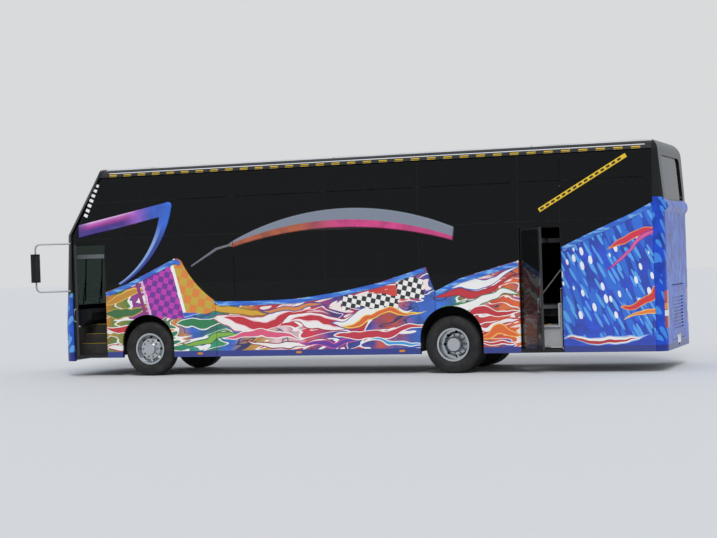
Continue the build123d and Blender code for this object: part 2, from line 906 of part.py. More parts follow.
def side_glazing(painted, doorways, seams_u, low_bays):
    """Panes on one side, built on the left."""
    with BuildPart() as glazing:
        add(glass_form)
        add(frame_form, mode=Mode.SUBTRACT)
        add(front_region.part, mode=Mode.SUBTRACT)
        add(box_between(tail_x + seam, far, 900, 1400, glazing_foot_z, glazing_head_z), mode=Mode.INTERSECT)
        for u0, u1, head in low_bays:
            add(box_between(front_x - u0, front_x - u1, 900, 1400, 0, head), mode=Mode.SUBTRACT)
        for outline in painted + trim_outlines:
            add(side_sheet(outline, panel, seam), mode=Mode.SUBTRACT)
        add(wheel_and_door_cuts(doorways, seam), mode=Mode.SUBTRACT)
        door_edges_u = [u0 - seam / 2 for u0, width, foot, head in doorways]
        door_edges_u += [u0 + width + seam / 2 for u0, width, foot, head in doorways]
        for u in seams_u + door_edges_u:
            x = front_x - u
            add(box_between(x - seam / 2, x + seam / 2, 900, 1400, 0, far), mode=Mode.SUBTRACT)
        for z in pane_seams_z:
            add(box_between(-far, far, 900, 1400, z - seam / 2, z + seam / 2), mode=Mode.SUBTRACT)
    panes = [solid for solid in glazing.part.solids() if solid.volume > smallest_pane * pane]
    return Compound(children=panes)


glass_left = side_glazing(painted_left, left_doorways, seams_left_u, [(0, 1030, door_head_z)])
glass_left.label = "side_glass_left"
export_step(glass_left, "parts/side_glass_left.step")
glass_right = mirror(side_glazing(painted_right, right_doorways, seams_right_u, []), about=Plane.XZ)
glass_right.label = "side_glass_right"
export_step(glass_right, "parts/side_glass_right.step")

# Door leaves: a frame with a half-round nose on upright pins, holding a flush pane


def door_leaf(doorway):
    """A closed leaf on the left side, without its glass."""
    u0, width, foot, head = doorway
    axis_x = front_x - u0 - door_gap - leaf_thick / 2
    free_x = front_x - u0 - width + door_gap
    height = head - foot - 2 * door_gap
    with BuildPart() as leaf:
        with BuildSketch(Plane.XY.offset(foot + door_gap)):
            with Locations((axis_x, leaf_y)):
                Circle(leaf_thick / 2)
            with Locations(((axis_x + free_x) / 2, leaf_y)):
                Rectangle(axis_x - free_x, leaf_thick)
        extrude(amount=height)
        add(leaf_window(doorway, 0, 900), mode=Mode.SUBTRACT)
        add(leaf_window(doorway, leaf_lap + pane_fit, leaf_glass_y), mode=Mode.SUBTRACT)
        with Locations((axis_x, leaf_y, foot), (axis_x, leaf_y, head)):
            Cylinder(pin_radius + pin_clearance, 2 * (pin_reach + pin_root), mode=Mode.SUBTRACT)
    return leaf.part


def leaf_window(doorway, grow, y0):
    """The window's outline in a leaf, grown by a lap and run outwards from y0."""
    u0, width, foot, head = doorway
    first = u0 + door_gap + leaf_thick + leaf_rail
    last = u0 + width - door_gap - leaf_rail
    z0 = foot + leaf_panel_top
    z1 = head - door_gap - leaf_rail
    return side_view_prism(first - grow, last + grow, z0 - grow, z1 + grow, 40 + grow, y0, side_y + 50)


def leaf_pane(doorway):
    """The leaf's bonded pane."""
    with BuildPart() as glazing:
        add(leaf_window(doorway, leaf_lap, leaf_glass_y))
        add(box_between(-far, far, 1000, leaf_glass_y + pane, 0, far), mode=Mode.INTERSECT)
    return glazing.part


def swung(shape, doorway, angle):
    """A closed leaf turned outwards about its pins."""
    u0, width, foot, head = doorway
    axis_x = front_x - u0 - door_gap - leaf_thick / 2
    return shape.rotate(Axis((axis_x, leaf_y, 0), (0, 0, 1)), -angle)


for name, doorway, angle in (
    ("front_door", front_doorway, front_door_open),
    ("rear_door", rear_doorway, rear_door_open),
    ("emergency_door", emergency_doorway, 0),
):
    leaf = swung(door_leaf(doorway), doorway, angle)
    glazing = swung(leaf_pane(doorway), doorway, angle)
    if name == "emergency_door":
        leaf = mirror(leaf, about=Plane.XZ)
        glazing = mirror(glazing, about=Plane.XZ)
    leaf.label = name
    export_step(leaf, "parts/" + name + ".step")
    glazing.label = name + "_glass"
    export_step(glazing, "parts/" + name + "_glass.step")

# Luggage flap in the right rear panel, hung on two pins along its round top edge

with BuildPart() as luggage_flap:
    flap_drop = flap_axis_z - flap_foot_z - door_gap
    flap_centre_x = front_x - flap_u - flap_width / 2
    with BuildSketch(Plane.YZ.offset(flap_centre_x - flap_width / 2 + door_gap)):
        with Locations((-flap_axis_y, flap_axis_z)):
            Circle(lid_thick / 2)
        with Locations((-flap_axis_y, flap_axis_z - flap_drop / 2)):
            Rectangle(lid_thick, flap_drop)
    extrude(amount=flap_width - 2 * door_gap)
    for side in (1, -1):
        with Locations((flap_centre_x + side * flap_width / 2, -flap_axis_y, flap_axis_z)):
            Cylinder(
                flap_pin_radius + pin_clearance,
                2 * (pin_reach + pin_root),
                rotation=(0, 90, 0),
                mode=Mode.SUBTRACT,
            )
luggage_flap.part.label = "luggage_flap"
export_step(luggage_flap.part, "parts/luggage_flap.step")

# Wheelhouses: boxed over the steered wheels, round over the twin wheels


def wheelhouse_block(wheel_u, half, top, corner, grow):
    """The space taken by a wheelhouse from the side wall inwards, grown by its skin."""
    with BuildPart() as block:
        with BuildSketch(side_plane(house_inner_y - grow)) as outline:
            with Locations((wheel_u, (low_z + top + grow) / 2)):
                Rectangle(2 * (half + grow), top + grow - low_z)
            fillet(outline.vertices().group_by(Axis.Y)[-1], radius=corner + grow)
        extrude(amount=inner_y - house_inner_y + grow)
    return block.part


with BuildPart() as wheel_housings:
    for wheel_u, half, top, corner in wheelhouses:
        add(wheelhouse_block(wheel_u, half, top, corner, skin))
        add(wheelhouse_block(wheel_u, half, top, corner, 0), mode=Mode.SUBTRACT)
        axle_x = front_x - wheel_u
        notch = (axle_x - axle_notch, axle_x + axle_notch, 500, house_inner_y + 5, low_z, axle_notch_z)
        add(box_between(*notch), mode=Mode.SUBTRACT)
    add(box_between(-far, far, 0, far, low_z - 50, house_foot_z), mode=Mode.SUBTRACT)
    mirror(about=Plane.XZ)
wheel_housings.part.label = "wheel_housings"
export_step(wheel_housings.part, "parts/wheel_housings.step")


def wheelhouse_cuts():
    """Both sides' wheelhouses, for cutting out of the floor."""
    with BuildPart() as cuts:
        for wheel_u, half, top, corner in wheelhouses:
            add(wheelhouse_block(wheel_u, half, top, corner, skin))
        mirror(about=Plane.XZ)
    return cuts.part


# Lower floor: one folded deck from the driver's platform to the tail

with BuildPart() as lower_floor:
    with BuildSketch(side_plane(-inner_y - 50)):
        with BuildLine():
            middle = floor_thick / 2
            Polyline(
                (40, driver_floor_z - middle),
                (front_riser_u, driver_floor_z - middle),
                (front_riser_u, lower_floor_z - middle),
                (saloon_end_u, lower_floor_z - middle),
                (saloon_end_u, rear_floor_z - middle),
                (engine_riser_u, rear_floor_z - middle),
                (engine_riser_u, engine_floor_z - middle),
                (body_length, engine_floor_z - middle),
            )
        trace(line_width=floor_thick)
    extrude(amount=2 * inner_y + 100)
    add(inner_form, mode=Mode.INTERSECT)
    add(wheelhouse_cuts(), mode=Mode.SUBTRACT)
    add(
        box_between(front_x - front_well_u[0], front_x - front_well_u[1], front_well_inner_y, 1400, 0, 1500),
        mode=Mode.SUBTRACT,
    )
    add(
        box_between(front_x - rear_well_start, front_x - rear_well_end, stair_inner_y, 1400, 0, 1700),
        mode=Mode.SUBTRACT,
    )
    add(
        box_between(front_x - flap_u, front_x - flap_u - flap_width, -1400, -stair_inner_y, 0, rear_floor_z - 300),
        mode=Mode.SUBTRACT,
    )
lower_floor.part.label = "lower_floor"
export_step(lower_floor.part, "parts/lower_floor.step")

# Upper floor, open over the rear stairs

with BuildPart() as upper_floor:
    add(inner_form)
    upper_floor_foot_z = upper_floor_z - upper_floor_thick
    add(box_between(-far, far, -far, far, upper_floor_foot_z, upper_floor_z), mode=Mode.INTERSECT)
    stair_head = (rear_door_u + rear_landing, rear_well_end)
    add(
        box_between(front_x - stair_head[0], front_x - stair_head[1], stair_inner_y, 1400, 2000, 3000),
        mode=Mode.SUBTRACT,
    )
upper_floor.part.label = "upper_floor"
export_step(upper_floor.part, "parts/upper_floor.step")

# Rear stairs, climbing towards the tail beside a partition

with BuildPart() as rear_stairs:
    with BuildSketch(side_plane(stair_inner_y)):
        with BuildLine():
            well_u = rear_well_start + stair_sheet / 2
            points = [(well_u, rear_floor_z - 2), (well_u, well_floor_z - stair_sheet / 2)]
            for step in range(rear_stair_count):
                riser_u = rear_door_u + rear_landing + step * rear_stair_going - stair_sheet / 2
                tread_z = well_floor_z + step * rear_rise
                points.append((riser_u, tread_z - stair_sheet / 2))
                if step < rear_stair_count - 1:
                    points.append((riser_u, tread_z + rear_rise - stair_sheet / 2))
            points.append((rear_well_end - stair_sheet / 2, upper_floor_z - 1))
            Polyline(*points)
        trace(line_width=stair_sheet)
    extrude(amount=inner_y - stair_inner_y)
rear_stairs.part.label = "rear_stairs"
export_step(rear_stairs.part, "parts/rear_stairs.step")

# Front steps, climbing inwards from the door to the driver's platform

with BuildPart() as front_stairs:
    rise = (driver_floor_z - well_floor_z) / front_step_count
    with BuildSketch(front_plane(front_x - front_well_u[1])):
        with BuildLine():
            points = [(inner_y, well_floor_z - stair_sheet / 2)]
            for step in range(front_step_count):
                steps_above = front_step_count - 1 - step
                riser_y = front_well_inner_y + steps_above * front_step_going + stair_sheet / 2
                tread_z = well_floor_z + step * rise - stair_sheet / 2
                points.append((riser_y, tread_z))
                points.append((riser_y, tread_z + rise))
            points[-1] = (points[-1][0], driver_floor_z - 1)
            Polyline(*points)
        trace(line_width=stair_sheet)
    extrude(amount=front_well_u[1] - front_well_u[0])
    cheek_foot_z = well_floor_z - stair_sheet
    for u in (front_well_u[0], front_well_u[1] - well_skin):
        x = front_x - u
        add(box_between(x, x - well_skin, front_well_inner_y, inner_y, cheek_foot_z, driver_floor_z))
    add(inner_form, mode=Mode.INTERSECT)
front_stairs.part.label = "front_stairs"
export_step(front_stairs.part, "parts/front_stairs.step")

# Chassis rails, kicked up over the axles, with cross-members

with BuildPart() as chassis:
    with BuildSketch(side_plane(rail_y)):
        with BuildLine():
            half_depth = rail_depth / 2
            Polyline(
                (260, rail_top_front - half_depth),
                (front_kick_u - kick_run, rail_top_front - half_depth),
                (front_kick_u, rail_top_middle - half_depth),
                (rear_kick_u, rail_top_middle - half_depth),
                (rear_kick_u + kick_run, rail_top_rear - half_depth),
                (tail_u - 60, rail_top_rear - half_depth),
            )
        trace(line_width=rail_depth)
    extrude(amount=rail_width)
    mirror(about=Plane.XZ)
    cross_members = [
        # distance behind the front, rail top there, half width
        (300, rail_top_front, 560),
        (1180, rail_top_front, rail_y + 10),
        (2360, rail_top_front, rail_y + 10),
        (3300, rail_top_middle, inner_y),
        (4300, rail_top_middle, inner_y),
        (5300, rail_top_middle, inner_y),
        (6300, rail_top_middle, inner_y),
        (rear_wheel_u - 380, rail_top_rear, rail_y + 10),
        (rear_wheel_u + 660, rail_top_rear, rail_y + 10),
        (engine_riser_u - 130, rail_top_rear, rail_y + 10),
        (tail_u - 100, rail_top_rear, 700),
    ]
    for u, top, half in cross_members:
        with Locations((front_x - u, 0, top - rail_depth / 2)):
            Box(80, 2 * half, rail_depth - 20)
    add(box_between(tail_x + 60, tail_x + 140, -50, 50, rear_socket[2] - 50, rail_top_rear - 20))
    for x, y, z, reach in (front_socket, rear_socket):
        with Locations((x - reach / 2, y, z)):
            Cylinder(socket_outer, abs(reach), rotation=(0, 90, 0))
            Cylinder(socket_bore, abs(reach), rotation=(0, 90, 0), mode=Mode.SUBTRACT)
    socket_y, socket_z = front_socket[1], front_socket[2]
    post = (front_x - 340, front_x - 260, socket_y - 50, socket_y + 50, socket_z - 45, rail_top_front - 20)
    add(box_between(*post))
    with Locations((front_x - 300, socket_y, socket_z)):
        Cylinder(socket_bore, 80, rotation=(0, 90, 0), mode=Mode.SUBTRACT)
chassis.part.label = "chassis"
export_step(chassis.part, "parts/chassis.step")

# Engine and gearbox as one block, on four lugs between the rails

with BuildPart() as engine:
    add(box_between(front_x - engine_u[0], front_x - engine_u[1], -engine_half, engine_half, *engine_z))
    for u in (engine_u[0] + 200, engine_u[1] - 200):
        with Locations((front_x - u, 0, rail_top_rear - rail_depth / 2)):
            Box(120, 2 * rail_y, 80)
engine.part.label = "engine"
export_step(engine.part, "parts/engine.step")

# Front axle: a dropped beam with kingpin bosses

with BuildPart() as front_axle:
    with BuildSketch(front_plane(front_axle_x - beam_width / 2)):
        with BuildLine():
            Polyline(
                (0, 400), (600, 400), (740, 475), (kingpin_y, 475),
                (kingpin_y, 570), (720, 570), (580, 495), (0, 495), close=True,
            )
        make_face()
        mirror(about=Plane.YZ)
    extrude(amount=beam_width)
    for side in (1, -1):
        with Locations((front_axle_x, side * kingpin_y, hub_z)):
            Cylinder(boss_radius + 14, boss_height)
            Cylinder(kingpin_radius, boss_height + 2 * (lug_gap + lug_height))
front_axle.part.label = "front_axle"
export_step(front_axle.part, "parts/front_axle.step")

# Steering knuckles, each with a stub axle and a steering arm

with BuildPart() as knuckle:
    for z in (hub_z + boss_height / 2 + lug_gap + lug_height / 2, arm_foot_z + lug_height / 2):
        with BuildSketch(Plane.XY.offset(z - lug_height / 2)):
            with Locations((front_axle_x, kingpin_y)):
                Circle(boss_radius + 10)
            with Locations((front_axle_x, (kingpin_y + knuckle_web_y + web_thick) / 2)):
                Rectangle(2 * boss_radius, knuckle_web_y + web_thick - kingpin_y)
        extrude(amount=lug_height)
    web_foot = arm_foot_z
    web_head = hub_z + boss_height / 2 + lug_gap + lug_height
    add(
        box_between(
            front_axle_x - boss_radius, front_axle_x + boss_radius,
            knuckle_web_y, knuckle_web_y + web_thick, web_foot, web_head,
        )
    )
    with Locations((front_axle_x, (knuckle_web_y + stub_end_y) / 2, hub_z)):
        Cylinder(stub_radius, stub_end_y - knuckle_web_y, rotation=(90, 0, 0))
    with BuildSketch(Plane.XY.offset(arm_foot_z)):
        with Locations((front_axle_x - arm_length / 2, kingpin_y)):
            SlotCenterToCenter(arm_length, 46)
    extrude(amount=34)
    with Locations((front_axle_x - arm_length, kingpin_y, arm_foot_z - 24)):
        Cylinder(ball_radius, 48)
    with Locations((front_axle_x, kingpin_y, hub_z)):
        Cylinder(kingpin_radius + pin_clearance, 400, mode=Mode.SUBTRACT)
knuckle.part.label = "knuckle_left"
export_step(knuckle.part, "parts/knuckle_left.step")
knuckle_right = mirror(knuckle.part, about=Plane.XZ)
knuckle_right.label = "knuckle_right"
export_step(knuckle_right, "parts/knuckle_right.step")

# Tie rod behind the beam; its right eye is open round its ball so that it can drift

with BuildPart() as tie_rod:
    with Locations((front_axle_x - arm_length, 0, tie_rod_z)):
        Cylinder(17, 2 * (kingpin_y - 24), rotation=(90, 0, 0))
    for side in (1, -1):
        with Locations((front_axle_x - arm_length, side * kingpin_y, tie_rod_z)):
            Cylinder(32, 36)
    with Locations((front_axle_x - arm_length, kingpin_y, tie_rod_z)):
        Cylinder(ball_radius + pin_clearance, 60, mode=Mode.SUBTRACT)
    with Locations((front_axle_x - arm_length, -kingpin_y, tie_rod_z)):
        Cylinder(ball_radius + pin_clearance, 60, mode=Mode.SUBTRACT)
tie_rod.part.label = "tie_rod"
export_step(tie_rod.part, "parts/tie_rod.step")

# Rear axle: banjo housing with its drive head, tubes and stubs

with BuildPart() as rear_axle:
    with Locations((rear_axle_x, 0, hub_z)):
        Cylinder(axle_tube_radius, 2 * 640, rotation=(90, 0, 0))
        Cylinder(rear_stub_radius, 2 * rear_stub_end_y, rotation=(90, 0, 0))
        Cylinder(banjo_radius, 190, rotation=(90, 0, 0))
        Cone(banjo_radius, 90, 330, rotation=(0, 90, 0), align=(Align.CENTER, Align.CENTER, Align.MIN))
    for side in (1, -1):
        with BuildSketch(Plane.XZ.offset(-side * 95)):
            with Locations((rear_axle_x, hub_z)):
                Circle(banjo_radius)
        with BuildSketch(Plane.XZ.offset(-side * 330)):
            with Locations((rear_axle_x, hub_z)):
                Circle(axle_tube_radius)
        loft()
rear_axle.part.label = "rear_axle"
export_step(rear_axle.part, "parts/rear_axle.step")

# Air springs between the axles and the rails, each on its own beam

with BuildPart() as air_springs:
    for u, seat, top in springs:
        height = top - seat
        x = front_x - u
        with BuildSketch(Plane.XZ.offset(-spring_y)):
            with BuildLine():
                waist = x + spring_radius - 30
                belly = x + spring_radius
                Polyline((x, seat), (waist, seat), (belly, seat + height / 4), (waist, seat + height / 2))
                Polyline((waist, seat + height / 2), (belly, top - height / 4), (waist, top), (x, top), (x, seat))
            make_face()
        revolve(axis=Axis((x, spring_y, 0), (0, 0, 1)))
    mirror(about=Plane.XZ)
air_springs.part.label = "air_springs"
export_step(air_springs.part, "parts/air_springs.step")

with BuildPart() as spring_beams:
    beam_length = 2 * (spring_offset + spring_radius)
    for side in (1, -1):
        with Locations((rear_axle_x, side * spring_y, 560 - beam_height / 2)):
            Box(beam_length, 90, beam_height)
        with Locations((rear_axle_x, side * spring_y, hub_z)):
            Cylinder(axle_tube_radius, 200, rotation=(90, 0, 0), mode=Mode.SUBTRACT)
spring_beams.part.label = "spring_beams"
export_step(spring_beams.part, "parts/spring_beams.step")

# Wheels, each turned about its own axle line


def tyre(centre_y):
    """One tyre about the Y axis."""
    side_profile = [
        # radius, distance from the tyre's middle
        (rim_radius + pin_clearance, tyre_width / 2 - 51),
        (400, tyre_width / 2),
        (490, tyre_width / 2 - 16),
        (tyre_radius, tyre_width / 2 - 46),
    ]
    with BuildPart() as ring:
        with BuildSketch(Plane.XY):
            with BuildLine():
                right = [(radius, centre_y - off) for radius, off in side_profile]
                left = [(radius, centre_y + off) for radius, off in reversed(side_profile)]
                Polyline(*right, *left, close=True)
            make_face()
        revolve(axis=Axis.Y)
    return ring.part


def rim_barrel(centre_y):
    """One rim barrel about the Y axis."""
    half = tyre_width / 2 - 36
    flange = rim_radius + 18
    with BuildPart() as barrel:
        with BuildSketch(Plane.XY):
            with BuildLine():
                Polyline(
                    (flange, centre_y - half - 4), (flange, centre_y - half + 4),
                    (rim_radius, centre_y - half + 6), (rim_radius, centre_y + half - 6),
                    (flange, centre_y + half - 4), (flange, centre_y + half + 4),
                    (rim_radius - 14, centre_y + half), (rim_radius - 14, centre_y - half), close=True,
                )
            make_face()
        revolve(axis=Axis.Y)
    return barrel.part


def placed(shape, x, side):
    """A wheel piece built for the left, moved to its axle and mirrored for the right."""
    shape = mirror(shape, about=Plane.XZ) if side < 0 else shape
    return shape.moved(Location((x, 0, hub_z)))


with BuildPart() as front_rim:
    add(rim_barrel(track_half))
    disc_y = track_half + 92
    bore = stub_radius + pin_clearance
    with BuildSketch(Plane.XY):
        with BuildLine():
            Polyline(
                (bore, 965), (150, 965), (150, disc_y - 12), (188, disc_y - 12),
                (240, disc_y - 70), (rim_radius - 13, disc_y - 84), (rim_radius - 13, disc_y - 68),
                (250, disc_y - 56), (196, disc_y), (front_hub_radius + 10, disc_y),
                (front_hub_radius, disc_y + 54), (0, disc_y + 62), (0, stub_end_y + 6),
                (bore, stub_end_y + 6), close=True,
            )
        make_face()
    revolve(axis=Axis.Y)
    with BuildSketch(Plane.XZ.offset(-(disc_y - 100))):
        with PolarLocations(226, hand_holes):
            Circle(26)
    extrude(amount=-130, mode=Mode.SUBTRACT)

with BuildPart() as rear_rims:
    inner_centre = track_half - twin_spacing
    disc_y = track_half - twin_spacing / 2
    add(rim_barrel(track_half))
    add(rim_barrel(inner_centre))
    with BuildSketch(Plane.XY):
        with BuildLine():
            Polyline(
                (rear_stub_radius + pin_clearance, 700), (150, 700), (150, disc_y - 14), (192, disc_y - 14),
                (236, disc_y - 56), (rim_radius - 13, disc_y - 62), (rim_radius - 13, disc_y - 46),
                (246, disc_y - 40), (206, disc_y), (246, disc_y + 40), (rim_radius - 13, disc_y + 46),
                (rim_radius - 13, disc_y + 62), (236, disc_y + 56), (192, disc_y + 14), (150, disc_y + 14),
                (142, 1110), (120, 1140), (0, 1140), (0, rear_stub_end_y + 6),
                (rear_stub_radius + pin_clearance, rear_stub_end_y + 6), close=True,
            )
        make_face()
    revolve(axis=Axis.Y)
    with BuildSketch(Plane.XZ.offset(-(disc_y - 100))):
        with PolarLocations(226, hand_holes):
            Circle(26)
    extrude(amount=-200, mode=Mode.SUBTRACT)

with BuildPart() as front_tyre:
    add(tyre(track_half))

with BuildPart() as rear_tyres:
    add(tyre(track_half))
    add(tyre(track_half - twin_spacing))

for side, name in ((1, "left"), (-1, "right")):
    for piece, shape, x in (
        ("front_tyre_", front_tyre.part, front_axle_x),
        ("front_rim_", front_rim.part, front_axle_x),
        ("rear_tyres_", rear_tyres.part, rear_axle_x),
        ("rear_rims_", rear_rims.part, rear_axle_x),
    ):
        wheel_piece = placed(shape, x, side)
        wheel_piece.label = piece + name
        export_step(wheel_piece, "parts/" + piece + name + ".step")

# Passenger seats in pairs, each pair one bench on its own plinth


def seat_pair(u, inner, floor):
    """A pair of seats facing forward: u is the front of the cushion, inner the edge at the aisle."""
    with BuildPart() as pair:
        with BuildSketch(side_plane(inner)):
            with BuildLine():
                Polyline(
                    (u + 90, floor), (u + 90, floor + 270), (u, floor + 300), (u, floor + 430),
                    (u + 420, floor + 440), (u + 560, floor + 1120), (u + 680, floor + 1110),
                    (u + 560, floor + 300), (u + 430, floor + 260), (u + 400, floor), close=True,
                )
            make_face()
        extrude(amount=seat_pair_width)
        middle = inner + seat_pair_width / 2
        x = front_x - u
        gap = (x + 50, x - 800, middle - seat_gap, middle + seat_gap, floor + 330, floor + 1300)
        add(box_between(*gap), mode=Mode.SUBTRACT)
    return pair.part


upper_rows_u = [1450 + seat_pitch * row for row in range(12)]

with BuildPart() as upper_seats:
    for row, u in enumerate(upper_rows_u):
        clear_of_stairs = u + 700 < rear_door_u + rear_landing - 40 or u > rear_well_end + 10
        if clear_of_stairs:
            add(seat_pair(u, aisle_half, upper_floor_z))
        add(seat_pair(u, -aisle_half - seat_pair_width, upper_floor_z))
upper_seats.part.label = "upper_seats"
export_step(upper_seats.part, "parts/upper_seats.step")

lower_rows_u = [3300 + seat_pitch * row for row in range(4)]

with BuildPart() as lower_seats:
    for u in lower_rows_u:
        add(seat_pair(u, aisle_half, lower_floor_z))
        add(seat_pair(u, -aisle_half - seat_pair_width, lower_floor_z))
lower_seats.part.label = "lower_seats"
export_step(lower_seats.part, "parts/lower_seats.step")

# Driver's place on the right: seat, fascia and wheel

with BuildPart() as driver_seat:
    with BuildSketch(side_plane(driver_y - 250)):
        with BuildLine():
            u = driver_seat_u
            floor = driver_floor_z
            Polyline(
                (u + 120, floor), (u + 120, floor + 300), (u, floor + 330), (u, floor + 450),
                (u + 430, floor + 460), (u + 560, floor + 1180), (u + 660, floor + 1170),
                (u + 560, floor + 330), (u + 430, floor + 300), (u + 430, floor), close=True,
            )
        make_face()
    extrude(amount=500)
driver_seat.part.label = "driver_seat"
export_step(driver_seat.part, "parts/driver_seat.step")

with BuildPart() as fascia:
    with BuildSketch(side_plane(-fascia_half)):
        with BuildLine():
            Polyline((100, driver_floor_z), (100, 1300), (480, 1330), (560, 1250), (520, 1120))
            Polyline((520, 1120), (330, driver_floor_z), (100, driver_floor_z))
        make_face()
    extrude(amount=2 * fascia_half)
    with BuildSketch(side_plane(driver_y - 330)):
        with BuildLine():
            Polyline((260, 1300), (300, 1450), (420, 1470), (560, 1300), (500, 1240), (300, 1240), close=True)
        make_face()
    extrude(amount=660)
    add(inner_form, mode=Mode.INTERSECT)
fascia.part.label = "fascia"
export_step(fascia.part, "parts/fascia.step")

with BuildPart() as steering_wheel:
    wheel_plane = Plane(
        origin=(front_x - steering_u, driver_y, steering_z),
        x_dir=(0, 1, 0),
        z_dir=(-sin(radians(steering_tilt)), 0, cos(radians(steering_tilt))),
    )
    with BuildSketch(wheel_plane):
        Circle(48)
        Rectangle(2 * wheel_ring_radius - 10, 34)
        with Locations((0, -wheel_ring_radius / 2)):
            Rectangle(34, wheel_ring_radius - 10)
    extrude(amount=14, both=True)
    with BuildSketch(Plane(origin=wheel_plane.origin, x_dir=wheel_plane.x_dir, z_dir=-wheel_plane.y_dir)):
        with Locations((wheel_ring_radius, 0)):
            RegularPolygon(15, 8)
    revolve(axis=Axis(wheel_plane.origin, wheel_plane.z_dir))
    with BuildSketch(wheel_plane):
        Circle(26)
    extrude(amount=-430)
    add(fascia.part, mode=Mode.SUBTRACT)
steering_wheel.part.label = "steering_wheel"
export_step(steering_wheel.part, "parts/steering_wheel.step")

# Mirrors on tubular loops that stand out from the front corners

loop_plane = Plane(
    origin=(loop_root[0], loop_root[1], 0),
    x_dir=(loop_tip[0] - loop_root[0], loop_tip[1] - loop_root[1], 0),
    z_dir=(loop_tip[1] - loop_root[1], loop_root[0] - loop_tip[0], 0),
)

with BuildPart() as mirror_left:
    with BuildLine(loop_plane) as path:
        FilletPolyline(
            (0, loop_head_z), (loop_run, loop_head_z), (loop_run, loop_foot_z), (0, loop_foot_z),
            radius=90,
        )
    with BuildSketch(Plane(origin=path.wire() @ 0, z_dir=path.wire() % 0)):
        Circle(loop_tube_radius)
    sweep()
    with BuildSketch(Plane.XY.offset(mirror_foot_z)):
        with Locations((mirror_x, loop_tip[1])):
            RectangleRounded(mirror_depth, 2 * mirror_half_width, 34)
    extrude(amount=mirror_head_z - mirror_foot_z)
    with BuildSketch(Plane.YZ.offset(mirror_x - mirror_depth / 2)):
        with Locations(mirror_middle):
            RectangleRounded(mirror_face[0], mirror_face[1], 30)
    extrude(amount=8, mode=Mode.SUBTRACT)
    add(outer_form, mode=Mode.SUBTRACT)

with BuildPart() as mirror_glass:
    with BuildSketch(Plane.YZ.offset(mirror_x - mirror_depth / 2 + 4)):
        with Locations(mirror_middle):
            RectangleRounded(mirror_face[0] - 2, mirror_face[1] - 2, 29)
    extrude(amount=4)

for piece, name in ((mirror_left.part, "mirrors"), (mirror_glass.part, "mirror_glasses")):
    with BuildPart() as pair:
        add(piece)
        mirror(about=Plane.XZ)
    pair.part.label = name
    export_step(pair.part, "parts/" + name + ".step")

# Wipers standing on the lower windscreen, each on a spindle through the mask


def glass_u(y, z):
    """Distance behind the front face of the lower windscreen's surface."""
    bow = front_bow * (y / side_y) ** 2
    return panel - pane + bow + screen_lean * (z - bumper_z)


with BuildPart() as wipers:
    for side in (1, -1):
        middle_z = (blade_foot_z + blade_head_z) / 2
        stand = 14
        foot_u = glass_u(wiper_y, wiper_foot_z) - 62
        with BuildSketch(side_plane(side * wiper_y - 9)):
            with BuildLine():
                Polyline(
                    (foot_u, wiper_foot_z),
                    (glass_u(wiper_y, blade_foot_z) - 60, blade_foot_z),
                    (glass_u(wiper_y, middle_z) - stand - 8, middle_z),
                )
            trace(line_width=14)
        extrude(amount=18)
        with BuildSketch(side_plane(side * wiper_y - 6)):
            with BuildLine():
                Polyline(
                    (glass_u(wiper_y, blade_foot_z) - stand, blade_foot_z),
                    (glass_u(wiper_y, blade_head_z) - stand, blade_head_z),
                )
            trace(line_width=22)
        extrude(amount=12)
        with Locations((front_x - foot_u - 40, side * wiper_y, wiper_foot_z)):
            Cylinder(16, 110, rotation=(0, 90, 0))
    add(frame_form, mode=Mode.SUBTRACT)
    add(front_mask.part, mode=Mode.SUBTRACT)
wipers.part.label = "wipers"
export_step(wipers.part, "parts/wipers.step")

# Luggage tray behind the right rear flap

with BuildPart() as luggage_tray:
    with BuildSketch(front_plane(front_x - flap_u - flap_width)):
        with BuildLine():
            Polyline(
                (-inner_y, flap_foot_z - stair_sheet / 2 - 5),
                (-stair_inner_y - stair_sheet / 2, flap_foot_z - stair_sheet / 2 - 5),
                (-stair_inner_y - stair_sheet / 2, rear_floor_z - floor_thick),
            )
        trace(line_width=stair_sheet)
    extrude(amount=flap_width)
    for u in (flap_u, flap_u + flap_width - well_skin):
        add(
            box_between(
                front_x - u, front_x - u - well_skin, -inner_y, -stair_inner_y,
                flap_foot_z - stair_sheet - 5, rear_floor_z - floor_thick,
            )
        )
luggage_tray.part.label = "luggage_tray"
export_step(luggage_tray.part, "parts/luggage_tray.step")
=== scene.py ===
# %% [markdown]
# # A double-deck touring coach
#
# The coach comes as a construction model: skins, frames, doors, wheels and seats are solids at their real size.
# This notebook gives them their finish, and adds what is too small or too soft for a solid: tread, nuts,
# seals, padded seats, the film stripes and the painted waves along the sides.

# %% Load the frame
from math import atan, atan2, cos, pi, radians, sin, tan

import bmesh
import bpy
from mathutils import Matrix, Quaternion, Vector


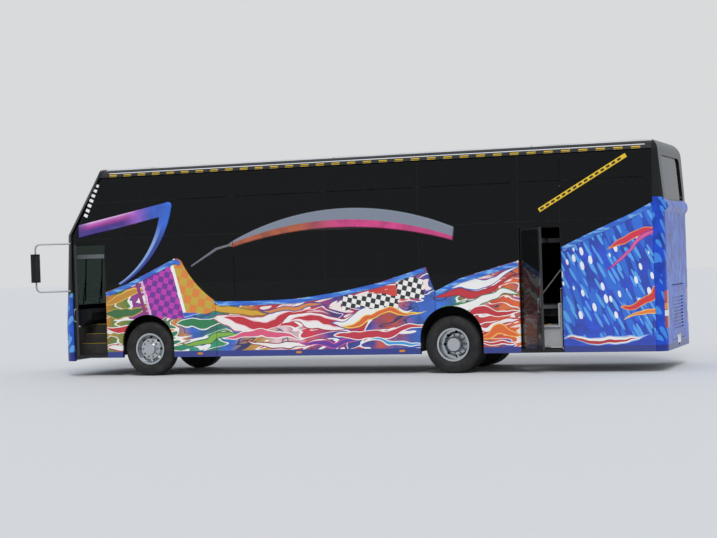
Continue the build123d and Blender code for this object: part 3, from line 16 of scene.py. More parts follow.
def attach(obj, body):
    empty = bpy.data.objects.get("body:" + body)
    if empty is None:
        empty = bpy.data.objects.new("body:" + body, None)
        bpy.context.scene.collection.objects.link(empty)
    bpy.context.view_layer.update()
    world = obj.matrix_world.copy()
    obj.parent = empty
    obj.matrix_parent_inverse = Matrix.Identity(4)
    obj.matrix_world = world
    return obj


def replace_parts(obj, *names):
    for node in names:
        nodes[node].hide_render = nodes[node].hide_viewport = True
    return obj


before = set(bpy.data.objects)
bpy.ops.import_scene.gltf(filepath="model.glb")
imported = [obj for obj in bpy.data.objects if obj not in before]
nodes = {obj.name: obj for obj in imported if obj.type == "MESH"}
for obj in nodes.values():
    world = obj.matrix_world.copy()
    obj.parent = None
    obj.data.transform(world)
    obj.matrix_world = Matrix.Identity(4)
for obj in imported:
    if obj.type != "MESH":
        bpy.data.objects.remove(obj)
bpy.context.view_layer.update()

# %% [markdown]
# ## Camera
#
# The coach is seen from its left side, a little behind square, from a standing person's height. The camera
# stands 30 metres off. A long lens keeps that mild perspective and fills the picture with the coach. The
# picture leans by two degrees, as a hand-held one does.

# %% Camera
camera_place = Vector((-11.10, 29.77, 2.11))
camera_target = Vector((-0.40, 1.0, 1.95))
view_angle = radians(24.6)
camera_roll = radians(1.9)
sensor_width = 36.0

camera_data = bpy.data.cameras.new("camera")
camera_data.sensor_width = sensor_width
camera_data.lens = sensor_width / 2 / tan(view_angle / 2)
camera_data.clip_end = 500
camera = bpy.data.objects.new("camera", camera_data)
bpy.context.scene.collection.objects.link(camera)
line_of_sight = (camera_target - camera_place).normalized()
upright = line_of_sight.to_track_quat("-Z", "Y")
leaned = Quaternion(line_of_sight, camera_roll) @ upright
camera.matrix_world = Matrix.Translation(camera_place) @ leaned.to_matrix().to_4x4()
bpy.context.scene.camera = camera
print("lens", round(camera_data.lens, 1), "mm")

# %% [markdown]
# ## Colours, nodes and pieces
#
# Paint makers and screens give colours as sRGB hex, while light adds up in linear numbers, so one function
# turns the one into the other. A second small function adds any node, with its settings and its inputs.
# The others stand on these two, and save a line wherever a sum, a ramp or a bump is needed.

# %% Colours and nodes
def linear(hex_colour):
    """An sRGB hex colour as linear red, green, blue and alpha."""
    channels = [int(hex_colour[i:i + 2], 16) / 255 for i in (0, 2, 4)]
    return [c / 12.92 if c <= 0.04045 else ((c + 0.055) / 1.055) ** 2.4 for c in channels] + [1.0]


def shown_output(node):
    """The first output that a node shows."""
    return [out for out in node.outputs if out.enabled][0]


def add_node(tree, kind, *values, links=None, **settings):
    """Adds a node. Values fill its shown inputs in order, links fill inputs by name; both may be nodes."""
    node = tree.nodes.new(kind)
    for name, value in settings.items():
        setattr(node, name, value)
    shown = [socket for socket in node.inputs if socket.enabled]
    pairs = list(zip(shown, values))
    for name, value in (links or {}).items():
        pairs.append(([socket for socket in shown if socket.name == name][0], value))
    for socket, value in pairs:
        if isinstance(value, bpy.types.Node):
            value = shown_output(value)
        if isinstance(value, bpy.types.NodeSocket):
            tree.links.new(value, socket)
        else:
            socket.default_value = value
    return node


# %% Sums, places and ramps
def math_node(tree, operation, *values, **settings):
    """One sum with up to three values."""
    return add_node(tree, "ShaderNodeMath", *values, operation=operation, **settings)


def map_range(tree, value, low, high, to_low=0.0, to_high=1.0):
    """Where a value lies from low to high, spread from to_low to to_high and held within them."""
    return add_node(tree, "ShaderNodeMapRange", value, low, high, to_low, to_high)


def object_place(tree):
    """A point's place on the piece itself, in metres, so that a pattern stays on it when the piece moves."""
    return add_node(tree, "ShaderNodeTexCoord").outputs["Object"]


def add_ramp(tree, factor, stops, interpolation="LINEAR"):
    """A Color Ramp with its stops as (position, colour)."""
    node = add_node(tree, "ShaderNodeValToRGB", factor)
    ramp = node.color_ramp
    ramp.interpolation = interpolation
    ramp.elements[0].position, ramp.elements[1].position = stops[0][0], stops[-1][0]
    ramp.elements[0].color, ramp.elements[1].color = linear(stops[0][1]), linear(stops[-1][1])
    for position, colour in stops[1:-1]:
        ramp.elements.new(position).color = linear(colour)
    return node


# %% Materials
def new_material(name, colour, roughness, **sockets):
    """A material with one Principled shader. Its plain numbers sit on the shader's own sockets."""
    material = bpy.data.materials.new(name)
    material.use_nodes = True
    shader = material.node_tree.nodes["Principled BSDF"]
    shader.inputs["Base Color"].default_value = linear(colour)
    shader.inputs["Roughness"].default_value = roughness
    for socket, value in sockets.items():
        shader.inputs[socket.replace("_", " ")].default_value = value
    return material, material.node_tree, shader


def set_base(tree, shader, paint):
    """Gives a shader the colour that a node works out."""
    tree.links.new(shown_output(paint), shader.inputs["Base Color"])


def surface_noise(tree, scale, detail=3.0, stretch=(1, 1, 1)):
    """Noise fixed to the piece, scale in features a metre."""
    mapping = add_node(tree, "ShaderNodeMapping", object_place(tree), links={"Scale": stretch})
    return add_node(tree, "ShaderNodeTexNoise", links={"Vector": mapping, "Scale": scale, "Detail": detail})


def add_bump(tree, shader, height, depth, strength=1.0):
    """Bumps of that depth in metres on a shader."""
    bump = add_node(tree, "ShaderNodeBump", links={"Strength": strength, "Distance": depth, "Height": height})
    tree.links.new(bump.outputs["Normal"], shader.inputs["Normal"])


def vary_roughness(tree, shader, source, low, high):
    """Roughness that wanders between two values, as handling and weather leave it."""
    spread = map_range(tree, source, 0.0, 1.0, low, high)
    tree.links.new(spread.outputs[0], shader.inputs["Roughness"])


def one_colour(name, colour, roughness, grain=None, wander=None, **sockets):
    """A material of one colour. Grain gives its bumps: features a metre, detail, depth in metres and, where they
    are weaker than 1, strength. Wander gives its roughness: features a metre, detail, least and most."""
    material, tree, shader = new_material(name, colour, roughness, **sockets)
    if grain:
        scale, detail, depth, *strength = grain
        add_bump(tree, shader, surface_noise(tree, scale, detail), depth, *strength)
    if wander:
        scale, detail, least, most = wander
        vary_roughness(tree, shader, surface_noise(tree, scale, detail), least, most)
    return material


# %% Pieces
sides = ((1, "left"), (-1, "right"))


def new_object(name, data):
    """An object in the scene."""
    piece = bpy.data.objects.new(name, data)
    bpy.context.scene.collection.objects.link(piece)
    return piece


def dress(material, *node_names):
    """Gives nodes of the construction their finish."""
    for name in node_names:
        mesh = nodes[name].data
        mesh.materials.clear()
        mesh.materials.append(material)


def finish_piece(piece, body, slot, *materials):
    """Gives a new piece its finish and its body. The slot is not used."""
    for material in materials:
        piece.data.materials.append(material)
    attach(piece, body)
    return piece


# %% [markdown]
# ## Floor, backdrop and light
#
# The floor and the backdrop are pale and plain, so that nothing but the coach takes the eye. The sky dome
# lights everything evenly, and one wide soft sun gives the shadow below. The dome is paler for what the
# camera and the glass see of it, which adds no light to the coach.

# %% Floor
floor_reach = 160
floor_z = -0.002
pale = "D9DADB"
corners = [(x * floor_reach, y * floor_reach, floor_z) for x, y in ((-1, -1), (1, -1), (1, 1), (-1, 1))]
floor_mesh = bpy.data.meshes.new("floor")
floor_mesh.from_pydata(corners, [], [(0, 1, 2, 3)])
floor = new_object("floor", floor_mesh)
floor_paint, tree, shader = new_material("floor_matt_vinyl", pale, 0.85, Specular_IOR_Level=0.2)
floor_mesh.materials.append(floor_paint)
print("floor", 2 * floor_reach, "m wide")

# %% Light
sun_from = Vector((-0.35, 0.75, 0.95))
sun_data = bpy.data.lights.new("soft_sun", "SUN")
sun_data.energy = 1.5
sun_data.angle = radians(25)
sun = new_object("soft_sun", sun_data)
sun.matrix_world = sun_from.to_track_quat("Z", "Y").to_matrix().to_4x4()

world = bpy.data.worlds.new("studio_dome")
bpy.context.scene.world = world
world.use_nodes = True
dome = world.node_tree
dome_light = dome.nodes["Background"]
dome_light.inputs["Color"].default_value = linear("E9EEF4")
dome_light.inputs["Strength"].default_value = 0.72
dome_seen = add_node(dome, "ShaderNodeBackground", linear(pale), 1.0)
rays = add_node(dome, "ShaderNodeLightPath").outputs
seen_direct = math_node(dome, "MAXIMUM", rays["Is Camera Ray"], rays["Is Transmission Ray"])
mix_dome = add_node(dome, "ShaderNodeMixShader", seen_direct, dome_light, dome_seen)
dome.links.new(mix_dome.outputs[0], dome.nodes["World Output"].inputs["Surface"])
bpy.context.scene.view_settings.view_transform = "Standard"
print("sun", sun_data.energy, "dome", dome_light.inputs["Strength"].default_value)

# %% [markdown]
# ## Black paint, glass and plain finishes
#
# The coach is glazed edge to edge: dark bonded glass over black painted frames, with black silicone in
# the seams. Both are glossy, so their colour is nearly all reflection. Underneath, the frame wears satin
# chassis enamel, and the wheel housings a pebbled rubber coating.

# %% Black gloss paint
# Two-pack polyurethane over filler: deep black, a clear hard gloss, and the faint ripple of sprayed paint.
gloss_black = "0B0C0E"
black_paint = one_colour(
    "black_polyurethane_paint", gloss_black, 0.16,
    grain=(40, 2, 0.0006, 0.25), wander=(3, 3, 0.12, 0.22), Coat_Weight=0.6, Coat_Roughness=0.03)
print(black_paint.name)

# %% Tinted glass
# Toughened float glass with a dark privacy tint. Almost no light comes through, and the face is a mirror.
side_glass = one_colour(
    "tinted_toughened_glass", "14171A", 0.0,
    grain=(1.6, 1, 0.004, 0.12), Transmission_Weight=1.0, IOR=1.33, Specular_IOR_Level=0.3)

# The windscreens are laminated glass with a light green tint, so the seats show behind them.
screen_glass = one_colour(
    "laminated_green_glass", "36413C", 0.0, grain=(1.2, 1, 0.004, 0.1), Transmission_Weight=1.0, IOR=1.4)
print(side_glass.name, screen_glass.name)

# %% Frames and underside
# Structural tube and sheet behind the glass, in satin black primer.
frame_paint = one_colour("satin_black_primer", "17181A", 0.5, wander=(18, 3, 0.4, 0.62))

# Ladder frame in satin enamel, dulled in patches by road dust.
chassis_enamel, tree, shader = new_material("satin_chassis_enamel", "202225", 0.45)
dust = surface_noise(tree, 9, 5)
set_base(tree, shader, add_ramp(tree, dust, [(0.45, "1B1C1F"), (0.85, "4A4640")]))
vary_roughness(tree, shader, dust, 0.4, 0.7)

# Rubberised stone-guard coating, sprayed on in pebbles of 3 mm.
stone_guard = one_colour("rubberised_stone_guard", "1A1A1B", 0.8, grain=(330, 1, 0.0015))

# Cast steel axles, painted grey and grimed.
axle_steel = one_colour(
    "painted_cast_steel", "33363A", 0.55, grain=(120, 2, 0.0008), wander=(14, 3, 0.45, 0.75))

# Natural rubber bellows of the air springs.
bellows_rubber = one_colour("bellows_rubber", "141414", 0.7, wander=(25, 3, 0.55, 0.8))
print(frame_paint.name, chassis_enamel.name, stone_guard.name, axle_steel.name, bellows_rubber.name)

# %% Inside finishes
# Vinyl flooring with a fine mineral speckle, hard wearing and nearly matt.
floor_vinyl, tree, shader = new_material("speckled_floor_vinyl", "6B6E73", 0.55)
set_base(tree, shader, add_ramp(tree, surface_noise(tree, 260, 1), [(0.42, "4C4F54"), (0.6, "8C8F94")]))

# Pale flooring of the steps, welded over plywood, with a grit that gives feet a grip and the eye a speckle.
step_vinyl, tree, shader = new_material("gritted_step_vinyl", "B4B5B6", 0.5)
grit = surface_noise(tree, 420, 1)
set_base(tree, shader, add_ramp(tree, grit, [(0.4, "8A8C8F"), (0.62, "D0D1D2")]))
add_bump(tree, shader, grit, 0.0006)

# The driver's steps: dark studded rubber, dusty where feet land.
dark_step, tree, shader = new_material("studded_step_rubber", "2C2B2A", 0.7)
set_base(tree, shader, add_ramp(tree, surface_noise(tree, 7, 4), [(0.0, "242423"), (1.0, "4B4843")]))
studs = add_node(tree, "ShaderNodeTexVoronoi", links={
    "Vector": object_place(tree), "Scale": 45.0, "Randomness": 0.0})
add_bump(tree, shader, studs.outputs["Distance"], 0.002, 0.6)

# Moulded ABS with a leather grain of 2 mm, charcoal and soft in its shine.
charcoal_abs = one_colour(
    "grained_charcoal_abs", "26282B", 0.5, grain=(480, 2, 0.0006), wander=(8, 3, 0.42, 0.58))
print(floor_vinyl.name, step_vinyl.name, dark_step.name, charcoal_abs.name)

# %% [markdown]
# ## The painted sides
#
# The lower panels carry an airbrushed show paint: loud colours that change along the coach, with waves, checks
# and white flecks over them. Such a picture could be an image, but a formula stays sharp at any distance.
# Here the paint is built in layers, as a sign painter works: a ground, then one brush stroke at a time.
# One node group draws a single wave with pointed ends, and tables give each wave its place and colour.

# %% Where a point of the paint lies
front_x = 5.85
coach_length = 12.0


def side_place(tree):
    """Distance behind the front face and height, in metres, for a paint on the coach's sides."""
    place = object_place(tree)
    axes = add_node(tree, "ShaderNodeSeparateXYZ", place).outputs
    return place, math_node(tree, "SUBTRACT", front_x, axes["X"]).outputs[0], axes["Z"]


# %% One brush stroke
stroke_labels = ("Start", "Length", "Foot", "Rise", "Swing", "Turns", "Phase", "Width", "Lean")


def build_stroke_group():
    """A wave with pointed ends: how far inside it a point is, in metres, and 0 or less outside."""
    tree = bpy.data.node_groups.new("brush stroke", "ShaderNodeTree")
    for label in ("Behind", "Height") + stroke_labels:
        tree.interface.new_socket(label, in_out="INPUT", socket_type="NodeSocketFloat")
    tree.interface.new_socket("Depth", in_out="OUTPUT", socket_type="NodeSocketFloat")
    given = tree.nodes.new("NodeGroupInput").outputs
    result = tree.nodes.new("NodeGroupOutput")
    from_start = math_node(tree, "SUBTRACT", given["Behind"], given["Start"])
    along = math_node(tree, "DIVIDE", from_start, given["Length"], use_clamp=True)
    turned = math_node(tree, "MULTIPLY_ADD", along, given["Turns"], given["Phase"])
    wave = math_node(tree, "SINE", math_node(tree, "MULTIPLY", turned, 2 * pi))
    slope = math_node(tree, "MULTIPLY_ADD", along, given["Rise"], given["Foot"])
    middle = math_node(tree, "MULTIPLY_ADD", wave, given["Swing"], slope)
    leaned = math_node(tree, "POWER", along, given["Lean"])
    taper = math_node(tree, "SINE", math_node(tree, "MULTIPLY", leaned, pi))
    half_width = math_node(tree, "MULTIPLY", taper, given["Width"])
    off = math_node(tree, "ABSOLUTE", math_node(tree, "SUBTRACT", given["Height"], middle))
    depth = math_node(tree, "SUBTRACT", half_width, off)
    tree.links.new(depth.outputs[0], result.inputs["Depth"])
    return tree


stroke_group = build_stroke_group()
print(stroke_group.name, len(stroke_group.nodes), "nodes")


# %% Masks
def beyond(tree, value, limit):
    """1 where a value is over a limit."""
    return math_node(tree, "GREATER_THAN", value, limit)


def under(tree, value, limit):
    """1 where a value is under a limit."""
    return math_node(tree, "LESS_THAN", value, limit)


def both(tree, first, second):
    """1 where both masks are."""
    return math_node(tree, "MULTIPLY", first, second)


def between(tree, value, low, high):
    """1 where a value lies between two limits."""
    return both(tree, beyond(tree, value, low), under(tree, value, high))


def leaning_patch(tree, behind, height, first, last, foot, head, lean):
    """1 inside a patch that leans back with height."""
    leaned = math_node(tree, "MULTIPLY_ADD", height, lean, behind)
    return both(tree, between(tree, leaned, first, last), between(tree, height, foot, head))


def stretched(tree, place, turn, size):
    """Coordinates for a pattern with cells of that size in metres, turned by that many degrees about the axes."""
    return add_node(tree, "ShaderNodeMapping", place, vector_type="TEXTURE", links={
        "Rotation": [radians(angle) for angle in turn], "Scale": size})


def oval_spots(tree, place, turn, size, reach):
    """1 inside ovals that lie scattered as from a flicked brush."""
    cells = add_node(tree, "ShaderNodeTexVoronoi", links={
        "Vector": stretched(tree, place, turn, size), "Scale": 1.0, "Randomness": 0.9})
    return under(tree, cells.outputs["Distance"], reach)


# %% Layers of paint
edge_width = 0.018


def lay_over(tree, ground, colour, mask):
    """One more layer of paint where the mask is 1. Ground and colour may be nodes or hex colours."""
    below, above = [linear(paint) if isinstance(paint, str) else paint for paint in (ground, colour)]
    return add_node(tree, "ShaderNodeMix", data_type="RGBA", links={"Factor": mask, "A": below, "B": above})


def paint_stroke(tree, ground, behind, height, row):
    """A stroke with a fine edge of another colour round it."""
    *measures, colour, edge_colour = row
    stroke = tree.nodes.new("ShaderNodeGroup")
    stroke.node_tree = stroke_group
    for label, value in zip(stroke_labels, measures):
        stroke.inputs[label].default_value = value
    tree.links.new(behind, stroke.inputs["Behind"])
    tree.links.new(height, stroke.inputs["Height"])
    depth = stroke.outputs["Depth"]
    edged = lay_over(tree, ground, edge_colour, beyond(tree, depth, 0.0))
    return lay_over(tree, edged, colour, beyond(tree, depth, edge_width))


def airbrushed(tree, place, colour, amount=0.35):
    """Soft clouds of lighter and darker paint over a ground, which may be a node or a hex colour."""
    ground = linear(colour)[:3] if isinstance(colour, str) else colour
    mist = add_node(tree, "ShaderNodeTexNoise", links={
        "Vector": place, "Scale": 3.2, "Detail": 4.0, "Distortion": 0.8})
    shade = map_range(tree, mist, 0.3, 0.7, 1 - amount, 1 + amount)
    return add_node(tree, "ShaderNodeVectorMath", ground, shade.outputs[0], operation="MULTIPLY")


# %% Tables of strokes
# Each row: start behind the front, length, height at the start, rise, swing, turns, phase, half width, lean,
# colour and edge colour.
wave_strokes = [
    (1.00, 0.95, 1.36, 0.40, 0.04, 0.7, 0.0, 0.085, 0.7, "C98A1E", "F0C24A"),
    (0.98, 1.05, 1.16, 0.20, 0.05, 0.9, 0.3, 0.090, 0.7, "2E6B34", "C9A227"),
    (0.98, 1.20, 0.88, 0.02, 0.05, 0.9, 0.1, 0.085, 0.8, "C8202C", "F4F2EE"),
    (0.98, 1.20, 0.60, -0.06, 0.04, 0.9, 0.5, 0.080, 0.8, "F1EEE8", "B8202E"),
    (2.52, 1.25, 1.22, 0.06, 0.06, 0.9, 0.7, 0.070, 0.7, "2456C8", "9CC6F0"),
    (2.55, 1.30, 0.92, 0.22, 0.06, 0.9, 0.2, 0.105, 0.7, "157A46", "F4F2EE"),
    (2.60, 1.50, 0.66, 0.10, 0.05, 1.1, 0.5, 0.075, 0.9, "7FB23A", "1F5E3C"),
    (3.10, 1.50, 1.22, -0.02, 0.05, 1.0, 0.0, 0.085, 0.8, "D9A521", "7A5A12"),
    (3.35, 2.10, 0.98, 0.16, 0.09, 1.2, 0.3, 0.150, 0.6, "F3EEEC", "C8506A"),
    (3.55, 2.20, 1.00, 0.12, 0.09, 1.2, 0.3, 0.085, 0.6, "C4182E", "F6C9CE"),
    (3.50, 1.80, 0.74, 0.04, 0.06, 1.2, 0.7, 0.080, 0.8, "E0527A", "F4F2EE"),
    (3.90, 2.00, 0.58, 0.04, 0.04, 1.2, 0.2, 0.060, 0.9, "F4F2EE", "8C1838"),
    (4.30, 1.50, 1.22, 0.06, 0.04, 1.0, 0.5, 0.060, 0.8, "D9843A", "3A2E8C"),
    (4.75, 2.10, 0.92, 0.24, 0.09, 1.2, 0.1, 0.140, 0.7, "F5F1EE", "B3172F"),
    (4.90, 1.95, 0.92, 0.24, 0.09, 1.2, 0.1, 0.075, 0.7, "C3182F", "F6C9CE"),
    (5.00, 1.80, 0.62, 0.03, 0.05, 1.0, 0.4, 0.065, 0.9, "5A2A9C", "E0559A"),
    (5.75, 1.75, 1.00, 0.26, 0.07, 1.1, 0.6, 0.110, 0.8, "F3F0EC", "2D3FA0"),
    (5.95, 1.70, 0.98, 0.20, 0.07, 1.1, 0.6, 0.060, 0.8, "E0602A", "F6D24A"),
    (5.80, 2.00, 0.70, 0.16, 0.07, 1.3, 0.2, 0.100, 0.7, "C3203B", "F4F2EE"),
    (6.35, 1.50, 0.56, 0.04, 0.03, 1.1, 0.0, 0.045, 0.9, "2E9AD8", "F4F2EE"),
    (7.80, 1.75, 1.50, 0.36, 0.07, 1.1, 0.2, 0.100, 0.7, "F4F2EE", "2A56C4"),
    (7.80, 1.70, 1.34, 0.34, 0.08, 1.1, 0.2, 0.075, 0.7, "C4182C", "8C1022"),
    (7.90, 1.62, 1.20, 0.22, 0.07, 1.0, 0.5, 0.085, 0.8, "F4F2EE", "2E7A46"),
    (8.30, 1.20, 1.00, 0.18, 0.08, 1.0, 0.0, 0.085, 0.7, "C4182C", "F4F2EE"),
    (8.50, 1.00, 0.84, 0.10, 0.05, 1.0, 0.4, 0.055, 0.8, "F4F2EE", "C8202C"),
    (8.60, 0.90, 0.70, 0.06, 0.05, 1.0, 0.8, 0.070, 0.8, "E8641E", "F6B84A"),
    (8.55, 0.92, 0.56, 0.03, 0.03, 1.0, 0.2, 0.045, 0.8, "C8202C", "F4F2EE"),
]
# The tail's own strokes lie over its flecks.
tail_strokes = [
    (10.15, 1.55, 0.60, 0.02, 0.03, 0.9, 0.3, 0.085, 0.9, "F4F2EE", "9FB8E8"),
    (10.20, 1.30, 0.58, 0.02, 0.03, 0.9, 0.3, 0.035, 0.9, "B8242E", "B8242E"),
    (11.00, 1.30, 2.10, 0.66, 0.07, 0.8, 0.1, 0.085, 0.8, "D81E48", "F08A2A"),
    (11.20, 1.10, 1.10, 0.60, 0.07, 0.9, 0.4, 0.085, 0.8, "D8262E", "EF9A30"),
    (11.25, 1.10, 0.86, 0.50, 0.06, 0.9, 0.2, 0.050, 0.8, "EF7A30", "F6C84A"),
    (10.95, 1.30, 1.86, 0.80, 0.07, 0.8, 0.7, 0.055, 0.8, "E0559A", "7A2A9C"),
]
# Fields of one pattern: first and last distance behind the front, foot and head height, how far the field
# leans back with height, two colours, squares a metre.
check_fields = [
    (2.34, 3.02, 1.10, 2.20, 0.26, "C22AB0", "6A1C92", 9.0),
    (3.09, 3.72, 1.22, 2.20, 0.26, "E0822A", "C9A62E", 6.5),
    (6.10, 7.20, 1.22, 1.46, 0.08, "F4F2EE", "17171C", 11.0),
    (7.20, 7.72, 1.42, 1.72, 0.08, "F4F2EE", "17171C", 11.0),
]
# Slanted lines: distance behind the front, half width, foot and head height, lean, colour.
slant_lines = [
    (3.055, 0.032, 1.22, 2.20, 0.26, "F7F5F2"),
    (2.31, 0.024, 1.10, 1.95, 0.26, "E8B8D8"),
    (2.20, 0.040, 1.20, 1.95, 0.26, "8C2470"),
]
# The colours that the flames take along the side: distance behind the front as a share of 12 m, colour.
flame_colours = [
    (0.08, "C9972A"), (0.13, "3E7A2E"), (0.16, "B0267A"), (0.205, "157A46"), (0.26, "1F9C8C"), (0.295, "1E8C4A"),
    (0.325, "C9A62E"), (0.36, "C4182E"), (0.45, "D42A48"), (0.49, "3A2E8C"), (0.53, "C3182F"), (0.60, "D8402A"),
    (0.64, "2D3FA0"), (0.68, "2E8A50"), (0.72, "C4182C"), (0.78, "E8641E"),
]
# The ground below them, in the same terms.
ground_colours = [
    (0.00, "B98A2A"), (0.10, "C07A1E"), (0.125, "5F7A22"), (0.15, "8C2C8C"), (0.20, "B03A8C"), (0.235, "D08A28"),
    (0.27, "1F5AB8"), (0.31, "1E7A5A"), (0.345, "2A62C4"), (0.38, "B8862A"), (0.43, "D8B8BC"), (0.47, "C04A5E"),
    (0.51, "4A2E86"), (0.56, "2D3FA0"), (0.60, "B8463A"), (0.64, "2758B4"), (0.67, "2A6ACC"), (0.70, "2E8C55"),
    (0.73, "E8E2DA"), (0.755, "C0303A"), (0.78, "D8662A"), (0.82, "1038B0"), (0.90, "1646C4"), (1.00, "123CB4"),
]
# Streaks and flecks on the tail: turn in degrees, size in metres, reach of a spot, foot and head height, colour.
tail_flecks = [
    (18, (0.11, 1, 0.62), 0.46, 0.62, 3.1, "1C6AD8"),
    (28, (0.075, 1, 0.42), 0.36, 0.62, 2.9, "4FA4EC"),
    (12, (0.16, 1, 0.36), 0.22, 0.95, 2.45, "F2F4F8"),
]
print("strokes", len(wave_strokes) + len(tail_strokes), "fields", len(check_fields), "lines", len(slant_lines))


# %% Fields, lines and flecks
tail_start, tail_end = 10.05, 12.10


def paint_field(tree, paint, place, behind, height, row):
    """A leaning field of two-colour squares."""
    first, last, foot, head, lean, light, dark, squares_a_metre = row
    inside = leaning_patch(tree, behind, height, first, last, foot, head, lean)
    turned = add_node(tree, "ShaderNodeMapping", place, links={
        "Rotation": (0, radians(14), 0), "Location": (0, 0.013, 0)})
    squares = add_node(tree, "ShaderNodeTexChecker", turned, linear(light), linear(dark), squares_a_metre)
    return lay_over(tree, paint, squares.outputs["Color"], inside)


def paint_line(tree, paint, behind, height, row):
    """A leaning line of one colour."""
    middle, half, foot, head, lean, colour = row
    inside = leaning_patch(tree, behind, height, middle - half, middle + half, foot, head, lean)
    return lay_over(tree, paint, colour, inside)


def add_flecks(tree, paint, place, behind, height):
    """Pale streaks and white flecks on the tail's blue, leaning with the airflow."""
    on_tail = between(tree, behind, tail_start, tail_end)
    for turn, size, reach, low, high, colour in tail_flecks:
        spots = oval_spots(tree, place, (0, turn, 0), size, reach)
        inside = both(tree, on_tail, between(tree, height, low, high))
        paint = lay_over(tree, paint, colour, both(tree, spots, inside))
    return paint


# %% Flames
flames_end = 9.45


def add_flames(tree, paint, place, behind):
    """Licks of flame with a white rim, stretched along the side, which take their colour from where they are."""
    heat = add_node(tree, "ShaderNodeTexNoise", links={
        "Vector": stretched(tree, place, (0, 9, 0), (1.15, 1, 0.33)),
        "Scale": 1.0, "Detail": 1.6, "Roughness": 0.45, "Distortion": 1.3})
    flame = add_ramp(tree, math_node(tree, "DIVIDE", behind, coach_length), flame_colours)
    on_side = under(tree, behind, flames_end)
    for colour, mask in (
        ("F5F2EF", between(tree, heat, 0.515, 0.64)), (flame, beyond(tree, heat, 0.545)),
        ("F6E6E0", beyond(tree, heat, 0.655)), ("23245E", between(tree, heat, 0.365, 0.385)),
    ):
        paint = lay_over(tree, paint, colour, both(tree, on_side, mask))
    return paint


# %% Show paint
sill_blue, sill_head = "1B2F86", 0.475


def build_show_paint(name, head=None, inner=0.0):
    """The airbrushed paint of the sides, under a clear lacquer. Black above head and within inner of the middle."""
    material, tree, shader = new_material(name, "2E5FC0", 0.22, Coat_Weight=0.8, Coat_Roughness=0.04)
    place, behind, height = side_place(tree)
    warp = add_node(tree, "ShaderNodeTexNoise", links={"Vector": place, "Scale": 1.9, "Detail": 3.0})
    slant = math_node(tree, "MULTIPLY_ADD", height, -0.30, behind)
    wander = math_node(tree, "MULTIPLY_ADD", warp, 1.1, slant)
    ground = add_ramp(tree, math_node(tree, "DIVIDE", wander, coach_length), ground_colours, "EASE")
    paint = add_flames(tree, airbrushed(tree, place, ground), place, behind)
    wobble = add_node(tree, "ShaderNodeTexNoise", links={"Vector": place, "Scale": 2.6, "Detail": 1.0})
    lowered = math_node(tree, "SUBTRACT", height, 0.12)
    wavering = math_node(tree, "MULTIPLY_ADD", wobble, 0.24, lowered).outputs[0]
    for row in wave_strokes:
        paint = paint_stroke(tree, paint, behind, wavering, row)
    for row in check_fields:
        paint = paint_field(tree, paint, place, behind, wavering, row)
    for row in slant_lines:
        paint = paint_line(tree, paint, behind, height, row)
    paint = add_flecks(tree, paint, place, behind, height)
    for row in tail_strokes:
        paint = paint_stroke(tree, paint, behind, wavering, row)
    paint = lay_over(tree, paint, sill_blue, between(tree, height, 0.0, sill_head))
    if head is not None:
        out = math_node(tree, "ABSOLUTE", add_node(tree, "ShaderNodeSeparateXYZ", place).outputs["Y"])
        skin = both(tree, under(tree, height, head), beyond(tree, out, inner))
        paint = lay_over(tree, "0E0F11", paint, skin)
    set_base(tree, shader, paint)
    return material


show_paint = build_show_paint("airbrushed_show_paint")
dress(show_paint, "side_panels_left", "side_panels_right", "luggage_flap")
dress(build_show_paint("airbrushed_wall_paint", head=1.34, inner=1.205), "side_wall_right")
dress(build_show_paint("airbrushed_door_paint", head=1.53, inner=1.190), "emergency_door")
print(show_paint.name, len(show_paint.node_tree.nodes), "nodes")

# %% [markdown]
# ## Mouldings, ends and roof
# Painted highlights, painted shade and a painted sky reflection are laid into the mouldings' colours too.
#
# The mouldings between the windows are sprayed one by one before they are hung, so each has its own colours.
# The nose and the tail carry on the blue of the sides, with pale streaks. The roof is pale gel-coat, which
# keeps the sun's heat out. All are formulas of the point's place again, so no seam shows between two pieces.

# %% Paint of the boomerang
# The thin limb is an arc: its hub (behind, height), and the radii over which its painted highlight turns to painted
# shade.
limb_hub = (0.382, 3.595, 0)
limb_highlight_shade_radii = (2.029, 2.053)
front_colours = [
    (0.17, "2A1E86"), (0.30, "6A2A9C"), (0.48, "A03A9C"), (0.66, "9C5AC0"), (0.80, "2A56C4"), (1.0, "2468D2"),
]
# Across the upper limb: its purple, pink and blue paint, with painted shade at the lower edge and a pale pink painted
# highlight.
limb_paint_and_light_colours = [
    (0.0, "3A1A86"), (0.22, "A0268C"), (0.45, "C86AC0"), (0.58, "E4BCE0"), (0.70, "7A4AC8"), (0.86, "2456C8"),
]


